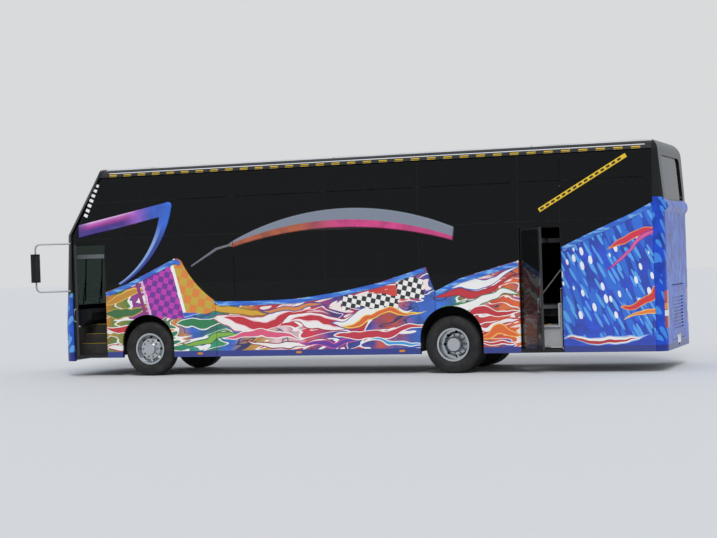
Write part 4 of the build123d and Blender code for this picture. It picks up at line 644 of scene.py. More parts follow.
def paint_boomerang(tree, place, behind, height):
    """Blue to pink from front to back. The upper limb has its purple, pink and blue paint, with painted shade
    darkening its lower edge and a pale pink painted highlight along it. The thin lower limb has a painted highlight on
    its upper side and painted shade on its lower side.
    """
    front = add_ramp(tree, math_node(tree, "DIVIDE", behind, 2.6), front_colours)
    limb = math_node(tree, "MULTIPLY_ADD", behind, -0.19, height)
    limb_paint_and_light = add_ramp(tree, map_range(tree, limb, 2.74, 2.99), limb_paint_and_light_colours)
    faded = both(tree, map_range(tree, behind, 0.45, 0.75), map_range(tree, behind, 1.85, 1.45))
    paint = airbrushed(tree, place, lay_over(tree, front, limb_paint_and_light, faded), 0.2)
    thin_limb = both(tree, map_range(tree, height, 2.95, 2.55), map_range(tree, behind, 1.15, 1.30))
    on_thin = math_node(tree, "MAXIMUM", thin_limb, under(tree, height, 2.60))
    here = add_node(tree, "ShaderNodeCombineXYZ", behind, height)
    from_hub = add_node(tree, "ShaderNodeVectorMath", here, limb_hub, operation="DISTANCE")
    # The thin limb is pale blue on its upper side, a painted highlight, and dark blue on its lower side, painted
    # shade.
    painted_shade_side = map_range(tree, from_hub, *limb_highlight_shade_radii)
    return lay_over(tree, paint, lay_over(tree, "86A8E0", "1A348E", painted_shade_side), on_thin)


# %% Paint of the arch and the bead
# The arch's painted sky reflection parts from its band on a parabola: its top (behind, height), and its drop per metre
# squared.
arch_top = (5.96, 2.88)
arch_drop = -0.078
bead_start, arch_start = 2.75, 3.76


def paint_arch(tree, place, behind, height):
    """Grey above, a painted reflection of the sky on the upper slope, with a rust and pink band along the lower edge.
    """
    from_top = math_node(tree, "SUBTRACT", behind, arch_top[0])
    square = math_node(tree, "MULTIPLY", from_top, from_top)
    arch_line = math_node(tree, "MULTIPLY_ADD", square, arch_drop, arch_top[1])
    band = add_ramp(tree, math_node(tree, "DIVIDE", behind, 10.0), [(0.52, "A8502E"), (0.60, "C8327A")])
    below = under(tree, height, arch_line)
    # Above the parabola, 7C8494 grey is a painted reflection of the sky.
    return lay_over(tree, "7C8494", airbrushed(tree, place, band, 0.3), below)


moulding_paint, tree, shader = new_material(
    "moulding_paint", "2A56C4", 0.2, Coat_Weight=0.8, Coat_Roughness=0.04)
place, behind, height = side_place(tree)
paint = paint_boomerang(tree, place, behind, height)
paint = lay_over(tree, paint, paint_arch(tree, place, behind, height), beyond(tree, behind, arch_start))
set_base(tree, shader, lay_over(tree, paint, "6A6E78", between(tree, behind, bead_start, arch_start)))
dress(moulding_paint, "mouldings_left", "mouldings_right")
print(moulding_paint.name, len(tree.nodes), "nodes")


# %% Paint of the nose and the tail
half_width = 1.25


def build_end_paint(name, limit, colour, pale_streak):
    """Airbrushed blue below a height that dips towards the middle of the coach, gloss black above."""
    material, tree, shader = new_material(name, colour, 0.28, Specular_IOR_Level=0.3, Coat_Weight=0.12)
    place = object_place(tree)
    axes = add_node(tree, "ShaderNodeSeparateXYZ", place).outputs
    share = math_node(tree, "DIVIDE", math_node(tree, "ABSOLUTE", axes["Y"]), half_width)
    dip = math_node(tree, "POWER", share, 3.0)
    top = math_node(tree, "MULTIPLY_ADD", dip, limit[1] - limit[0], limit[0])
    ground = airbrushed(tree, place, colour, 0.4)
    spots = oval_spots(tree, place, (-24, 0, 0), (0.3, 0.09, 0.42), 0.36)
    paint = lay_over(tree, ground, pale_streak, spots)
    paint = lay_over(tree, gloss_black, paint, under(tree, axes["Z"], top))
    set_base(tree, shader, lay_over(tree, paint, sill_blue, under(tree, axes["Z"], sill_head)))
    return material


dress(build_end_paint("airbrushed_nose_paint", (1.18, 1.66), "1656C0", "5FA8EC"), "front_mask", "front_bumper")
dress(build_end_paint("airbrushed_tail_paint", (2.99, 3.05), "1242BC", "3C86E0"), "rear_wall", "engine_lid")
print("ends painted")

# %% Paint of the roof
# Black flanks and a pale top of weathered gel-coat, with a sealed sheet seam every 1.9 metres.
sheet_width, seam_width, flank_y = 1.9, 0.009, 1.085
roof_gelcoat, tree, shader = new_material("roof_gelcoat", "C9CCD0", 0.3, Coat_Weight=0.4, Coat_Roughness=0.08)
place = object_place(tree)
axes = add_node(tree, "ShaderNodeSeparateXYZ", place).outputs
streaks = add_node(tree, "ShaderNodeTexNoise", links={
    "Vector": add_node(tree, "ShaderNodeMapping", place, links={"Scale": (2, 12, 1)}), "Scale": 1.0, "Detail": 5.0})
weathered = add_ramp(tree, streaks, [(0.35, "D2D4D7"), (0.62, "BDBFC1"), (0.8, "A5A39E")])
seam = under(tree, math_node(tree, "PINGPONG", axes["X"], sheet_width), seam_width)
flank = beyond(tree, math_node(tree, "ABSOLUTE", axes["Y"]), flank_y)
set_base(tree, shader, lay_over(tree, lay_over(tree, weathered, "6F7173", seam), gloss_black, flank))
dress(roof_gelcoat, "roof")
print(roof_gelcoat.name)

# %% [markdown]
# ## Lamps and mirrors
#
# Headlamps are silvered bowls behind a clear lens, tail lamps are bands of ribbed coloured acrylic. Modelling
# every bowl would cost many faces that nobody sees, so a formula of the distance from each lamp's middle
# draws the rings, and a bump map lets them catch the light.

# %% Headlamps
headlamp_bezel = "15171A"
ring_pitch = 340.0
lamps = [
    # out from the middle, height, radius: low beam, high beam, fog
    (0.800, 0.725, 0.092), (1.020, 0.725, 0.105), (0.710, 0.470, 0.042),
]


def from_point(tree, axes, y, z):
    """Distance from a point of the front or rear, alike on both sides of the coach."""
    off = math_node(tree, "SUBTRACT", math_node(tree, "ABSOLUTE", axes["Y"]), y)
    spot = add_node(tree, "ShaderNodeCombineXYZ", off, math_node(tree, "SUBTRACT", axes["Z"], z))
    return add_node(tree, "ShaderNodeVectorMath", spot, operation="LENGTH").outputs["Value"]


# Bright rings in a satin black bezel, with a deep gloss over all.
headlamp_look, tree, shader = new_material(
    "headlamp_reflector", headlamp_bezel, 0.25, Coat_Weight=1.0, Coat_Roughness=0.02)
axes = add_node(tree, "ShaderNodeSeparateXYZ", object_place(tree)).outputs
paint, silver, rings = headlamp_bezel, None, None
for y, z, radius in lamps:
    away = from_point(tree, axes, y, z)
    inside = under(tree, away, radius)
    bowl = both(tree, inside, math_node(tree, "SINE", math_node(tree, "MULTIPLY", away, ring_pitch)))
    paint = lay_over(tree, lay_over(tree, paint, "D5D9DD", inside), "F3EFD8", under(tree, away, radius * 0.24))
    silver = inside if silver is None else math_node(tree, "MAXIMUM", silver, inside)
    rings = bowl if rings is None else math_node(tree, "ADD", rings, bowl)
set_base(tree, shader, paint)
tree.links.new(silver.outputs[0], shader.inputs["Metallic"])
add_bump(tree, shader, rings, 0.003, 0.8)
dress(headlamp_look, "headlamps")
print(headlamp_look.name)

# %% Tail lamps
# Pressed acrylic: red for tail and brake, amber for turning, clear for reversing, ribbed across.
lens_foot, lens_head = 0.76, 1.42
lens_bands = [
    (0.0, "9C0D15"), (0.30, "151516"), (0.315, "E6E6E2"), (0.47, "151516"), (0.485, "E0861A"),
    (0.66, "151516"), (0.675, "B8101A"), (1.0, "B8101A"),
]
tail_lens, tree, shader = new_material("ribbed_tail_lens", "B01018", 0.15, Coat_Weight=0.8, Coat_Roughness=0.03)
place = object_place(tree)
height = add_node(tree, "ShaderNodeSeparateXYZ", place).outputs["Z"]
set_base(tree, shader, add_ramp(tree, map_range(tree, height, lens_foot, lens_head), lens_bands, "CONSTANT"))
ribs = add_node(tree, "ShaderNodeTexWave", place, links={"Scale": 34.0}, bands_direction="Z")
add_bump(tree, shader, ribs, 0.0015, 0.7)
dress(tail_lens, "tail_lamps")
print(tail_lens.name)

# %% Mirrors
# Mirror glass: silvered behind, so it is all reflection, with a faint blue anti-dazzle tint.
mirror_silver = one_colour("silvered_mirror_glass", "D3DAE2", 0.02, grain=(2.0, 1, 0.002, 0.05), Metallic=1.0)
dress(mirror_silver, "mirror_glasses")

# Mirror arms and heads: arms in silver powder coat, heads in grained black plastic.
head_foot, head_top, head_back_x = 1.878, 2.442, 6.14
mirror_coat, tree, shader = new_material("mirror_powder_coat", "A9ACB0", 0.4, Metallic=0.4)
axes = add_node(tree, "ShaderNodeSeparateXYZ", object_place(tree)).outputs
head = both(tree, between(tree, axes["Z"], head_foot, head_top), beyond(tree, axes["X"], head_back_x))
set_base(tree, shader, lay_over(tree, "A9ACB0", "141517", head))
add_bump(tree, shader, surface_noise(tree, 420, 2), 0.0005)
dress(mirror_coat, "mirrors")
print(mirror_silver.name, mirror_coat.name)

# %% Finish of the other nodes
dress(black_paint, "front_door", "rear_door")
dress(frame_paint, "side_wall_left", "wipers")
dress(side_glass, "side_glass_left", "side_glass_right", "front_door_glass", "rear_door_glass",
      "emergency_door_glass", "rear_window")
dress(screen_glass, "windscreen_lower", "windscreen_upper")
dress(chassis_enamel, "chassis", "spring_beams", "engine")
dress(stone_guard, "wheel_housings", "luggage_tray")
dress(axle_steel, "front_axle", "rear_axle", "knuckle_left", "knuckle_right", "tie_rod")
dress(floor_vinyl, "lower_floor", "upper_floor")
dress(step_vinyl, "rear_stairs")
dress(dark_step, "front_stairs")
dress(charcoal_abs, "fascia", "steering_wheel")
dress(bellows_rubber, "air_springs")
print("dressed", sum(bool(node.data.materials) for node in nodes.values()), "of", len(nodes))

# %% [markdown]
# ## Shapes that repeat or follow a path
#
# Geometry Nodes make what repeats: tread blocks, wheel nuts and the dashes of film along the roof. They also
# run one profile along a drawn path, for ledges, seals and rails. Each tree has named inputs, so the same tree
# makes many pieces. The result is kept as a plain mesh, because a coach in a library shouldn't recompute.
# What no tree makes is drawn point by point: plates with softened edges, and profiles turned like clay.

# %% Node trees: inputs and results
def start_tree(name, inputs):
    """An empty geometry tree with a geometry input, named number inputs, a material and a geometry output."""
    tree = bpy.data.node_groups.new(name, "GeometryNodeTree")
    for label, kind in {"Geometry": "Geometry", **inputs, "Material": "Material"}.items():
        tree.interface.new_socket(label, in_out="INPUT", socket_type="NodeSocket" + kind)
    tree.interface.new_socket("Geometry", in_out="OUTPUT", socket_type="NodeSocketGeometry")
    return tree, tree.nodes.new("NodeGroupInput").outputs, tree.nodes.new("NodeGroupOutput")


def end_tree(tree, result, geometry, given):
    """Realizes the instances, sets the material and hands the geometry out."""
    solid = add_node(tree, "GeometryNodeRealizeInstances", geometry)
    finished = add_node(tree, "GeometryNodeSetMaterial", links={"Geometry": solid, "Material": given["Material"]})
    tree.links.new(finished.outputs["Geometry"], result.inputs["Geometry"])
    return tree


def join_parts(tree, *parts):
    """Several geometries as one."""
    whole = add_node(tree, "GeometryNodeJoinGeometry")
    for part in parts:
        tree.links.new(part.outputs[0], whole.inputs[0])
    return whole


def evaluated_mesh(piece):
    """A plain mesh of what a piece's modifiers make."""
    return bpy.data.meshes.new_from_object(piece.evaluated_get(bpy.context.evaluated_depsgraph_get()))


def grown(name, tree, sizes, start=None):
    """A plain object with the mesh that a tree makes of a starting mesh."""
    piece = new_object(name, start or bpy.data.meshes.new(name))
    grower = piece.modifiers.new("grow", "NODES")
    grower.node_group = tree
    for item in tree.interface.items_tree:
        if item.in_out == "INPUT" and item.name in sizes:
            grower[item.identifier] = sizes[item.name]
    grown_mesh = evaluated_mesh(piece)
    piece.modifiers.clear()
    piece.data = grown_mesh
    grown_mesh.name = name
    return piece


# %% Tree: a profile along a path
def rounded_bar(tree, width, height, count, radius):
    """A rectangle with round corners."""
    outline = add_node(tree, "GeometryNodeCurvePrimitiveQuadrilateral", links={"Width": width, "Height": height})
    return filleted(tree, outline, count, radius)


def filleted(tree, curve, count, radius):
    """A curve with its corners rounded in that many steps."""
    rounded = add_node(tree, "GeometryNodeFilletCurve", curve, links={"Count": count, "Radius": radius}, mode="POLY")
    rounded.inputs["Limit Radius"].default_value = True
    return rounded


def build_profile_tree():
    """Runs a rounded bar along the starting mesh's edges: Out is its size across the side, Wide along it."""
    tree, given, result = start_tree("profile along a path", {
        "Out": "Float", "Wide": "Float", "Round": "Float", "Bend": "Float"})
    path = filleted(tree, add_node(tree, "GeometryNodeMeshToCurve", given["Geometry"]), 5, given["Bend"])
    upright = add_node(tree, "GeometryNodeSetCurveNormal", path, mode="Z_UP")
    profile = rounded_bar(tree, given["Out"], given["Wide"], 2, given["Round"])
    swept = add_node(tree, "GeometryNodeCurveToMesh", links={
        "Curve": upright, "Profile Curve": profile, "Fill Caps": True})
    return end_tree(tree, result, swept, given)


# %% Tree: a ring of nuts
def build_nut_tree():
    """Hexagon nuts with a flange and a stud each, on a ring about the wheel's line."""
    tree, given, result = start_tree("ring of nuts", {
        "Count": "Int", "Ring": "Float", "Nut": "Float", "Tall": "Float", "Centre": "Vector", "Way": "Float"})
    ring = add_node(tree, "GeometryNodeMeshCircle", links={"Vertices": given["Count"], "Radius": given["Ring"]})
    washer = add_node(tree, "GeometryNodeMeshCylinder", links={"Vertices": 12, "Radius": 0.021, "Depth": 0.006})
    flange = add_node(tree, "GeometryNodeTransform", washer, links={"Translation": (0, 0, 0.003)})
    hexagon = add_node(tree, "GeometryNodeMeshCone", links={
        "Vertices": 6, "Radius Top": 0.0145, "Radius Bottom": given["Nut"], "Depth": given["Tall"]})
    stud = add_node(tree, "GeometryNodeMeshCylinder", links={"Vertices": 8, "Radius": 0.010, "Depth": 0.06})
    placed = add_node(tree, "GeometryNodeInstanceOnPoints", links={
        "Points": ring, "Instance": join_parts(tree, flange, hexagon, stud)})
    turn = add_node(tree, "ShaderNodeCombineXYZ", math_node(tree, "MULTIPLY", given["Way"], -pi / 2))
    stood = add_node(tree, "GeometryNodeTransform", add_node(tree, "GeometryNodeRealizeInstances", placed), links={
        "Rotation": turn, "Translation": given["Centre"]})
    return end_tree(tree, result, stood, given)


# %% Tree: tyre tread
def build_tread_tree():
    """Tapered rubber blocks in rows round a tyre, each row half a block on from the last."""
    tree, given, result = start_tree("tread blocks", {
        "Rows": "Int", "Blocks": "Int", "Radius": "Float", "Spread": "Float", "Centre": "Vector", "Block": "Vector"})
    points = add_node(tree, "GeometryNodePoints", math_node(tree, "MULTIPLY", given["Rows"], given["Blocks"]))
    index = add_node(tree, "GeometryNodeInputIndex")
    row = math_node(tree, "FLOOR", math_node(tree, "DIVIDE", index, given["Blocks"]))
    place = math_node(tree, "ADD", index, math_node(tree, "MULTIPLY", row, 0.5))
    angle = math_node(tree, "MULTIPLY", math_node(tree, "DIVIDE", place, given["Blocks"]), 2 * pi)
    along_x, along_z = [math_node(tree, "MULTIPLY", math_node(tree, wave, angle), given["Radius"])
                        for wave in ("COSINE", "SINE")]
    across = math_node(tree, "MULTIPLY", row, given["Spread"])
    spot = add_node(tree, "ShaderNodeCombineXYZ", along_x, across, along_z)
    set_out = add_node(tree, "GeometryNodeSetPosition", points, links={"Position": spot, "Offset": given["Centre"]})
    facing = add_node(tree, "ShaderNodeCombineXYZ", 0.0, math_node(tree, "SUBTRACT", pi / 2, angle), 0.0)
    block = add_node(tree, "GeometryNodeMeshCone", links={
        "Vertices": 4, "Radius Top": 0.62, "Radius Bottom": 0.72, "Depth": 1.0})
    squared = add_node(tree, "GeometryNodeTransform", block, links={
        "Rotation": (0, 0, pi / 4), "Translation": (0, 0, -1.0)})
    placed = add_node(tree, "GeometryNodeInstanceOnPoints", links={
        "Points": set_out, "Instance": squared, "Rotation": facing, "Scale": given["Block"]})
    return end_tree(tree, result, placed, given)


# %% Tree: a row of film dashes
dash_corner = 0.006


def build_dash_tree():
    """Thin plates with round corners along a line: Step from one to the next, turned by Turn."""
    tree, given, result = start_tree("row of dashes", {
        "Count": "Int", "Start": "Vector", "Step": "Vector", "Turn": "Vector", "Long": "Float", "Wide": "Float",
        "Thick": "Float"})
    line = add_node(tree, "GeometryNodeMeshLine", links={
        "Count": given["Count"], "Start Location": given["Start"], "Offset": given["Step"]}, mode="OFFSET")
    outline = rounded_bar(tree, given["Long"], given["Wide"], 3, dash_corner)
    plate = add_node(tree, "GeometryNodeFillCurve", outline, mode="NGONS")
    raised = add_node(tree, "GeometryNodeExtrudeMesh", plate, links={
        "Offset Scale": given["Thick"], "Individual": False})
    film = join_parts(tree, raised, add_node(tree, "GeometryNodeFlipFaces", plate))
    placed = add_node(tree, "GeometryNodeInstanceOnPoints", links={
        "Points": line, "Instance": film, "Rotation": given["Turn"]})
    return end_tree(tree, result, placed, given)


profile_tree = build_profile_tree()
nut_tree = build_nut_tree()
tread_tree = build_tread_tree()
dash_tree = build_dash_tree()
print("trees", [tree.name for tree in (profile_tree, nut_tree, tread_tree, dash_tree)])

# %% Meshes drawn in the script
def smooth(mesh, angle=32):
    """Smooth shading that keeps edges sharper than the angle, in degrees."""
    mesh.shade_smooth()
    mesh.set_sharp_from_angle(angle=radians(angle))


def to_mesh(name, shape):
    """A bmesh as a mesh."""
    mesh = bpy.data.meshes.new(name)
    shape.to_mesh(mesh)
    shape.free()
    return mesh


def add_slab(shape, outline, y0, y1, softening=0.004):
    """A plate with softened edges: outline as (behind the front, height), from y0 to y1."""
    rings = [[shape.verts.new((front_x - u, y, z)) for u, z in outline] for y in (y0, y1)]
    count = len(outline)
    faces = [shape.faces.new(rings[0]), shape.faces.new(list(reversed(rings[1])))]
    for i in range(count):
        j = (i + 1) % count
        faces.append(shape.faces.new((rings[0][j], rings[0][i], rings[1][i], rings[1][j])))
    edges = list(dict.fromkeys(edge for face in faces for edge in face.edges))
    bmesh.ops.bevel(shape, geom=edges, offset=softening, segments=1, affect="EDGES", profile=0.5)


def finish_shape(name, shape, body, slot, *materials):
    """A piece from a bmesh, with its normals outward and its faces smooth between sharp edges."""
    bmesh.ops.recalc_face_normals(shape, faces=shape.faces)
    mesh = to_mesh(name, shape)
    smooth(mesh, 35)
    return finish_piece(new_object(name, mesh), body, slot, *materials)


# %% Turned shapes
def turned(name, profile, steps, centre, closed=False):
    """A profile of (radius, distance along Y) turned about a line along Y through the centre."""
    shape = bmesh.new()
    rings = []
    for step in range(steps):
        angle = 2 * pi * step / steps
        rings.append([shape.verts.new((
            centre[0] + radius * cos(angle), centre[1] + along, centre[2] + radius * sin(angle)))
            for radius, along in profile])
    size = len(profile)
    for first, second in zip(rings, rings[1:] + rings[:1]):
        for i in range(size if closed else size - 1):
            j = (i + 1) % size
            shape.faces.new((first[i], first[j], second[j], second[i]))
    bmesh.ops.remove_doubles(shape, verts=shape.verts, dist=1e-6)
    bmesh.ops.recalc_face_normals(shape, faces=shape.faces)
    mesh = to_mesh(name, shape)
    smooth(mesh)
    return new_object(name, mesh)


def joined(name, *pieces):
    """Several pieces of one material as one, with one mesh."""
    shape = bmesh.new()
    for piece in pieces:
        shape.from_mesh(piece.data)
    for face in shape.faces:
        face.material_index = 0
    mesh = to_mesh(name, shape)
    mesh.materials.append(pieces[0].data.materials[0])
    for piece in pieces:
        bpy.data.objects.remove(piece)
    return new_object(name, mesh)


# %% [markdown]
# ## Wheels and tyres
#
# A tyre's side tells its size: a raised bead rib, a smooth flank that bulges under the load, a step to the
# buttress and then the tread. The profile is turned, and the tread blocks are laid round it in rows.

# %% Rubber and wheel metals
# Tyre rubber: carbon black with a grey bloom that weather and dust leave on the flank.
tyre_rubber, tree, shader = new_material("tyre_rubber", "17171A", 0.75)
set_base(tree, shader, add_ramp(tree, surface_noise(tree, 7, 5), [(0.4, "131315"), (0.75, "2E2C2A")]))
add_bump(tree, shader, surface_noise(tree, 260, 2), 0.0005)

# Machined aluminium rims: bright, with fine turning marks that streak the light.
rim_alloy = one_colour(
    "machined_aluminium", "C4C7CB", 0.24, grain=(420, 1, 0.0002, 0.5), wander=(11, 5, 0.18, 0.38), Metallic=1.0)
dress(rim_alloy, "front_rim_left", "front_rim_right", "rear_rims_left", "rear_rims_right")

# Zinc plated nuts: a duller, warmer grey than the rim, so they stand out on it.
zinc_plate = one_colour("zinc_plated_steel", "9B9A96", 0.4, wander=(60, 2, 0.3, 0.5), Metallic=1.0)
print(tyre_rubber.name, rim_alloy.name, zinc_plate.name)

# %% Tyres
front_axle_x, rear_axle_x, hub_z = 3.92, -2.25, 0.522
wheel_sets = [
    # body, CAD node of the tyres, wheel centre x, side, tyres' middles in y, face of the nuts, radius of their ring
    ("front_left_wheel", "front_tyre_left", front_axle_x, 1, (1.062,), 1.154, 0.158),
    ("front_right_wheel", "front_tyre_right", front_axle_x, -1, (1.062,), 1.154, 0.158),
    ("rear_left_wheels", "rear_tyres_left", rear_axle_x, 1, (1.062, 0.732), 0.911, 0.171),
    ("rear_right_wheels", "rear_tyres_right", rear_axle_x, -1, (1.062, 0.732), 0.911, 0.171),
]
flank = [
    # radius, distance from the tyre's middle: bead, bulge, rubbing band, buttress, tread edge
    (0.2875, 0.0985), (0.296, 0.1035), (0.3055, 0.1065), (0.309, 0.1120), (0.318, 0.1190), (0.322, 0.1180),
    (0.345, 0.1330), (0.372, 0.1430), (0.398, 0.1480), (0.420, 0.1484), (0.424, 0.1470), (0.430, 0.1470),
    (0.434, 0.1480), (0.452, 0.1450), (0.470, 0.1400), (0.474, 0.1375), (0.480, 0.1375), (0.484, 0.1360),
    (0.498, 0.1270), (0.508, 0.1140), (0.5105, 0.1000),
]
tyre_outline = [(radius, -off) for radius, off in flank] + [(radius, off) for radius, off in reversed(flank)]
tyre_steps = 96
tread_rows, tread_blocks, row_spread = 5, 62, 0.0432


def add_tyres(body, node_name, x, middles):
    """One wheel body's tyres: a turned carcass with its tread for each middle in y."""
    parts = []
    for y in middles:
        carcass = turned("carcass", tyre_outline, tyre_steps, (x, y, hub_z), closed=True)
        carcass.data.materials.append(tyre_rubber)
        tread = grown("tread", tread_tree, {
            "Rows": tread_rows, "Blocks": tread_blocks, "Radius": 0.5215, "Spread": row_spread,
            "Centre": (x, y - 2 * row_spread, hub_z), "Block": (0.047, 0.036, 0.014), "Material": tyre_rubber})
        parts += [carcass, tread]
    tyres = joined("tyres_" + body, *parts)
    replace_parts(tyres, node_name)
    return finish_piece(tyres, body, "tyre")


# %% Wheel nuts
def add_nuts(body, centre, side, ring):
    """A ring of ten nuts on a wheel's face, with their studs outwards."""
    nuts = grown("nuts_" + body, nut_tree, {
        "Count": 10, "Ring": ring, "Nut": 0.018, "Tall": 0.024, "Centre": centre, "Way": float(side),
        "Material": zinc_plate})
    smooth(nuts.data, 30)
    return finish_piece(nuts, body, "rim_metal")


for body, node_name, x, side, middles, face_y, ring in wheel_sets:
    tyres = add_tyres(body, node_name, x, [side * y for y in middles])
    nuts = add_nuts(body, (x, side * face_y, hub_z), side, ring)
    print(body, len(tyres.data.polygons), "and", len(nuts.data.polygons), "faces")

# %% [markdown]
# ## Trim along the sides
#
# Raised ledges in blue gel-coat follow the tops of the painted panels, and rubber seals frame the doorways.
# Each is one rounded bar that the profile tree runs along a few drawn points. Both sides are built at once,
# from the same points with the sign of Y changed.

# %% Trim materials
# Gel-coat: pigmented polyester that comes out of its mould with a deep, slightly wavy shine. The pale blue streaks in
# its colour are painted highlights.
highlit_blue_gelcoat, tree, shader = new_material("highlit_blue_gelcoat", "2468D2", 0.18, Coat_Weight=0.7, Coat_Roughness=0.04)
vary_roughness(tree, shader, surface_noise(tree, 5), 0.14, 0.26)
# Pale blue streaks along the ledges: painted highlights over the blue.
set_base(tree, shader, add_ramp(tree, surface_noise(tree, 3, 3, stretch=(0.8, 1, 6)), [
    (0.40, "1F5CC8"), (0.53, "2E7ADA"), (0.62, "8CC2F2"), (0.70, "2E7ADA")]))

# Extruded EPDM rubber of the door and window seals, nearly matt.
seal_rubber = one_colour("extruded_door_rubber", "101011", 0.7, wander=(30, 3, 0.55, 0.8))

# Pressed polycarbonate lens in amber, with the fine cross ribs that spread the light.
amber_lens, tree, shader = new_material("amber_ribbed_lens", "E08A12", 0.18, Coat_Weight=0.5)
cross_ribs = add_node(tree, "ShaderNodeTexWave", object_place(tree), links={"Scale": 60.0})
add_bump(tree, shader, cross_ribs, 0.001, 0.6)

# Stainless tube, brushed along its length.
brushed_tube, tree, shader = new_material("brushed_stainless_tube", "B4B7BA", 0.3, Metallic=1.0)
vary_roughness(tree, shader, surface_noise(tree, 40, 4, stretch=(1, 1, 0.2)), 0.22, 0.42)
print(highlit_blue_gelcoat.name, seal_rubber.name, amber_lens.name, brushed_tube.name)


# %% Film
# Cast vinyl film, cut by a plotter: flat colour, a weak even sheen.
yellow_film = one_colour("yellow_vinyl_film", "E8C024", 0.4, wander=(15, 3, 0.32, 0.48))
white_film = one_colour("white_vinyl_film", "EDEEF0", 0.4, wander=(15, 3, 0.32, 0.48))
black_film = one_colour("black_vinyl_film", "151516", 0.45, wander=(15, 3, 0.38, 0.52))
print(yellow_film.name, white_film.name, black_film.name)


# %% Bars along a path
def bar_along(name, points, out, wide, corner, bend, material, body="coach", slot="painted_panel", closed=False):
    """A rounded bar along points given as (behind the front, out from the middle, height)."""
    path = bpy.data.meshes.new(name)
    count = len(points)
    links = [(i, i + 1) for i in range(count - 1)] + ([(count - 1, 0)] if closed else [])
    path.from_pydata([(front_x - u, y, z) for u, y, z in points], links, [])
    piece = grown(name, profile_tree, {
        "Out": out, "Wide": wide, "Round": corner, "Bend": bend, "Material": material}, path)
    smooth(piece.data, 30)
    return finish_piece(piece, body, slot)


# %% Ledges
ledge_y = 1.250
shared_ledges = {
    "front_wheel": [(1.05, 1.600), (1.50, 1.748), (2.46, 2.170), (2.585, 2.205), (2.67, 2.160)],
    "rear_wheel": [(7.84, 1.470), (8.29, 1.678), (9.37, 1.962)],
    "tail": [(10.20, 2.190), (10.83, 2.470), (11.40, 2.708), (11.79, 2.902)],
}
middle_ledge = {"middle": [(3.46, 1.372), (4.30, 1.366), (5.10, 1.388), (5.95, 1.494), (6.74, 1.642), (7.61, 1.896)]}
parted_ledge = {
    # the emergency door parts the right one
    "middle_fore": [(3.46, 1.372), (4.30, 1.366), (5.10, 1.388), (5.82, 1.478)],
    "middle_aft": [(6.58, 1.612), (6.74, 1.642), (7.61, 1.896)],
}
for (side, side_name), own in zip(sides, (middle_ledge, parted_ledge)):
    for name, points in {**shared_ledges, **own}.items():
        drawn = [(u, side * ledge_y, z) for u, z in points]
        bar_along("ledge_" + name + "_" + side_name, drawn, 0.030, 0.085, 0.012, 0.12, highlit_blue_gelcoat)
    print("ledges", side_name, len(shared_ledges) + len(own))

# %% Door seals
seal_y, seal_inset = 1.186, 0.010
foot, head = 0.430 + seal_inset, 2.600 - seal_inset
for name, u, width in (("front_door", 0.320, 0.690), ("rear_door", 9.400, 0.760)):
    fore, aft = u + seal_inset, u + width - seal_inset
    frame_line = [(fore, seal_y, foot), (aft, seal_y, foot), (aft, seal_y, head), (fore, seal_y, head)]
    bar_along("seal_" + name, frame_line, 0.018, 0.018, 0.006, 0.03, seal_rubber, slot="rubber", closed=True)
    print("seal", name)

# %% [markdown]
# ## Film on the glass and along the roof
#
# Sign makers stick plotted film on a coach: a yellow slash over the rear windows with black dashes on it, white
# marks on the front pillar and yellow dashes along the roof. The film is a true thin sheet here, so it casts
# its own fine edge. Each row is one line of copies that leans with the glass it sticks to.

# %% Place of the film
glass_y, glass_waist, glass_head = 1.2205, 3.12, 4.055
lean_share = 0.055 / (glass_head - glass_waist)


def on_glass(u, z, stand=0.0015):
    """A point on the left side glass, which leans in above the waist of the windows."""
    return (u, glass_y + stand - max(0.0, z - glass_waist) * lean_share, z)


def film_row(name, side, count, first, step, lean, tilt, long, wide, material, slot):
    """A row of film marks on the side glass: first is its (behind, height), step the distance between marks."""
    u, y, z = on_glass(*first, stand=0.0035)
    turn = Matrix.Rotation(side * (tilt - pi / 2), 3, "X") @ Matrix.Rotation(side * lean, 3, "Z")
    rise = step * sin(lean)
    marks = grown(name, dash_tree, {
        "Count": count, "Start": (front_x - u, side * y, z),
        "Step": (-step * cos(lean), -side * rise * tan(tilt), rise),
        "Turn": turn.to_euler(), "Long": long, "Wide": wide, "Thick": 0.0012, "Material": material})
    return finish_piece(marks, "coach", slot)


def level_row(name, count, start, step, turn, long, wide, thick, material, slot):
    """A level row of plates, step metres behind each other, turned by turn about the coach's length."""
    row = grown(name, dash_tree, {
        "Count": count, "Start": start, "Step": (-step, 0, 0), "Turn": (turn, 0, 0), "Long": long, "Wide": wide,
        "Thick": thick, "Material": material})
    return finish_piece(row, "coach", slot)


# %% Yellow slash
slash_start, slash_end = (9.79, 2.893), (11.37, 3.80)
slash_run, slash_rise = slash_end[0] - slash_start[0], slash_end[1] - slash_start[1]
slash_bend = slash_start[0] + (glass_waist - slash_start[1]) * slash_run / slash_rise
slash = [on_glass(*slash_start), on_glass(slash_bend, glass_waist), on_glass(*slash_end)]
for side, side_name in sides:
    bar_along("yellow_slash_" + side_name, [(u, side * y, z) for u, y, z in slash],
              0.0016, 0.075, 0.0006, 0.0, yellow_film)
print("slash bends at", round(slash_bend, 3))

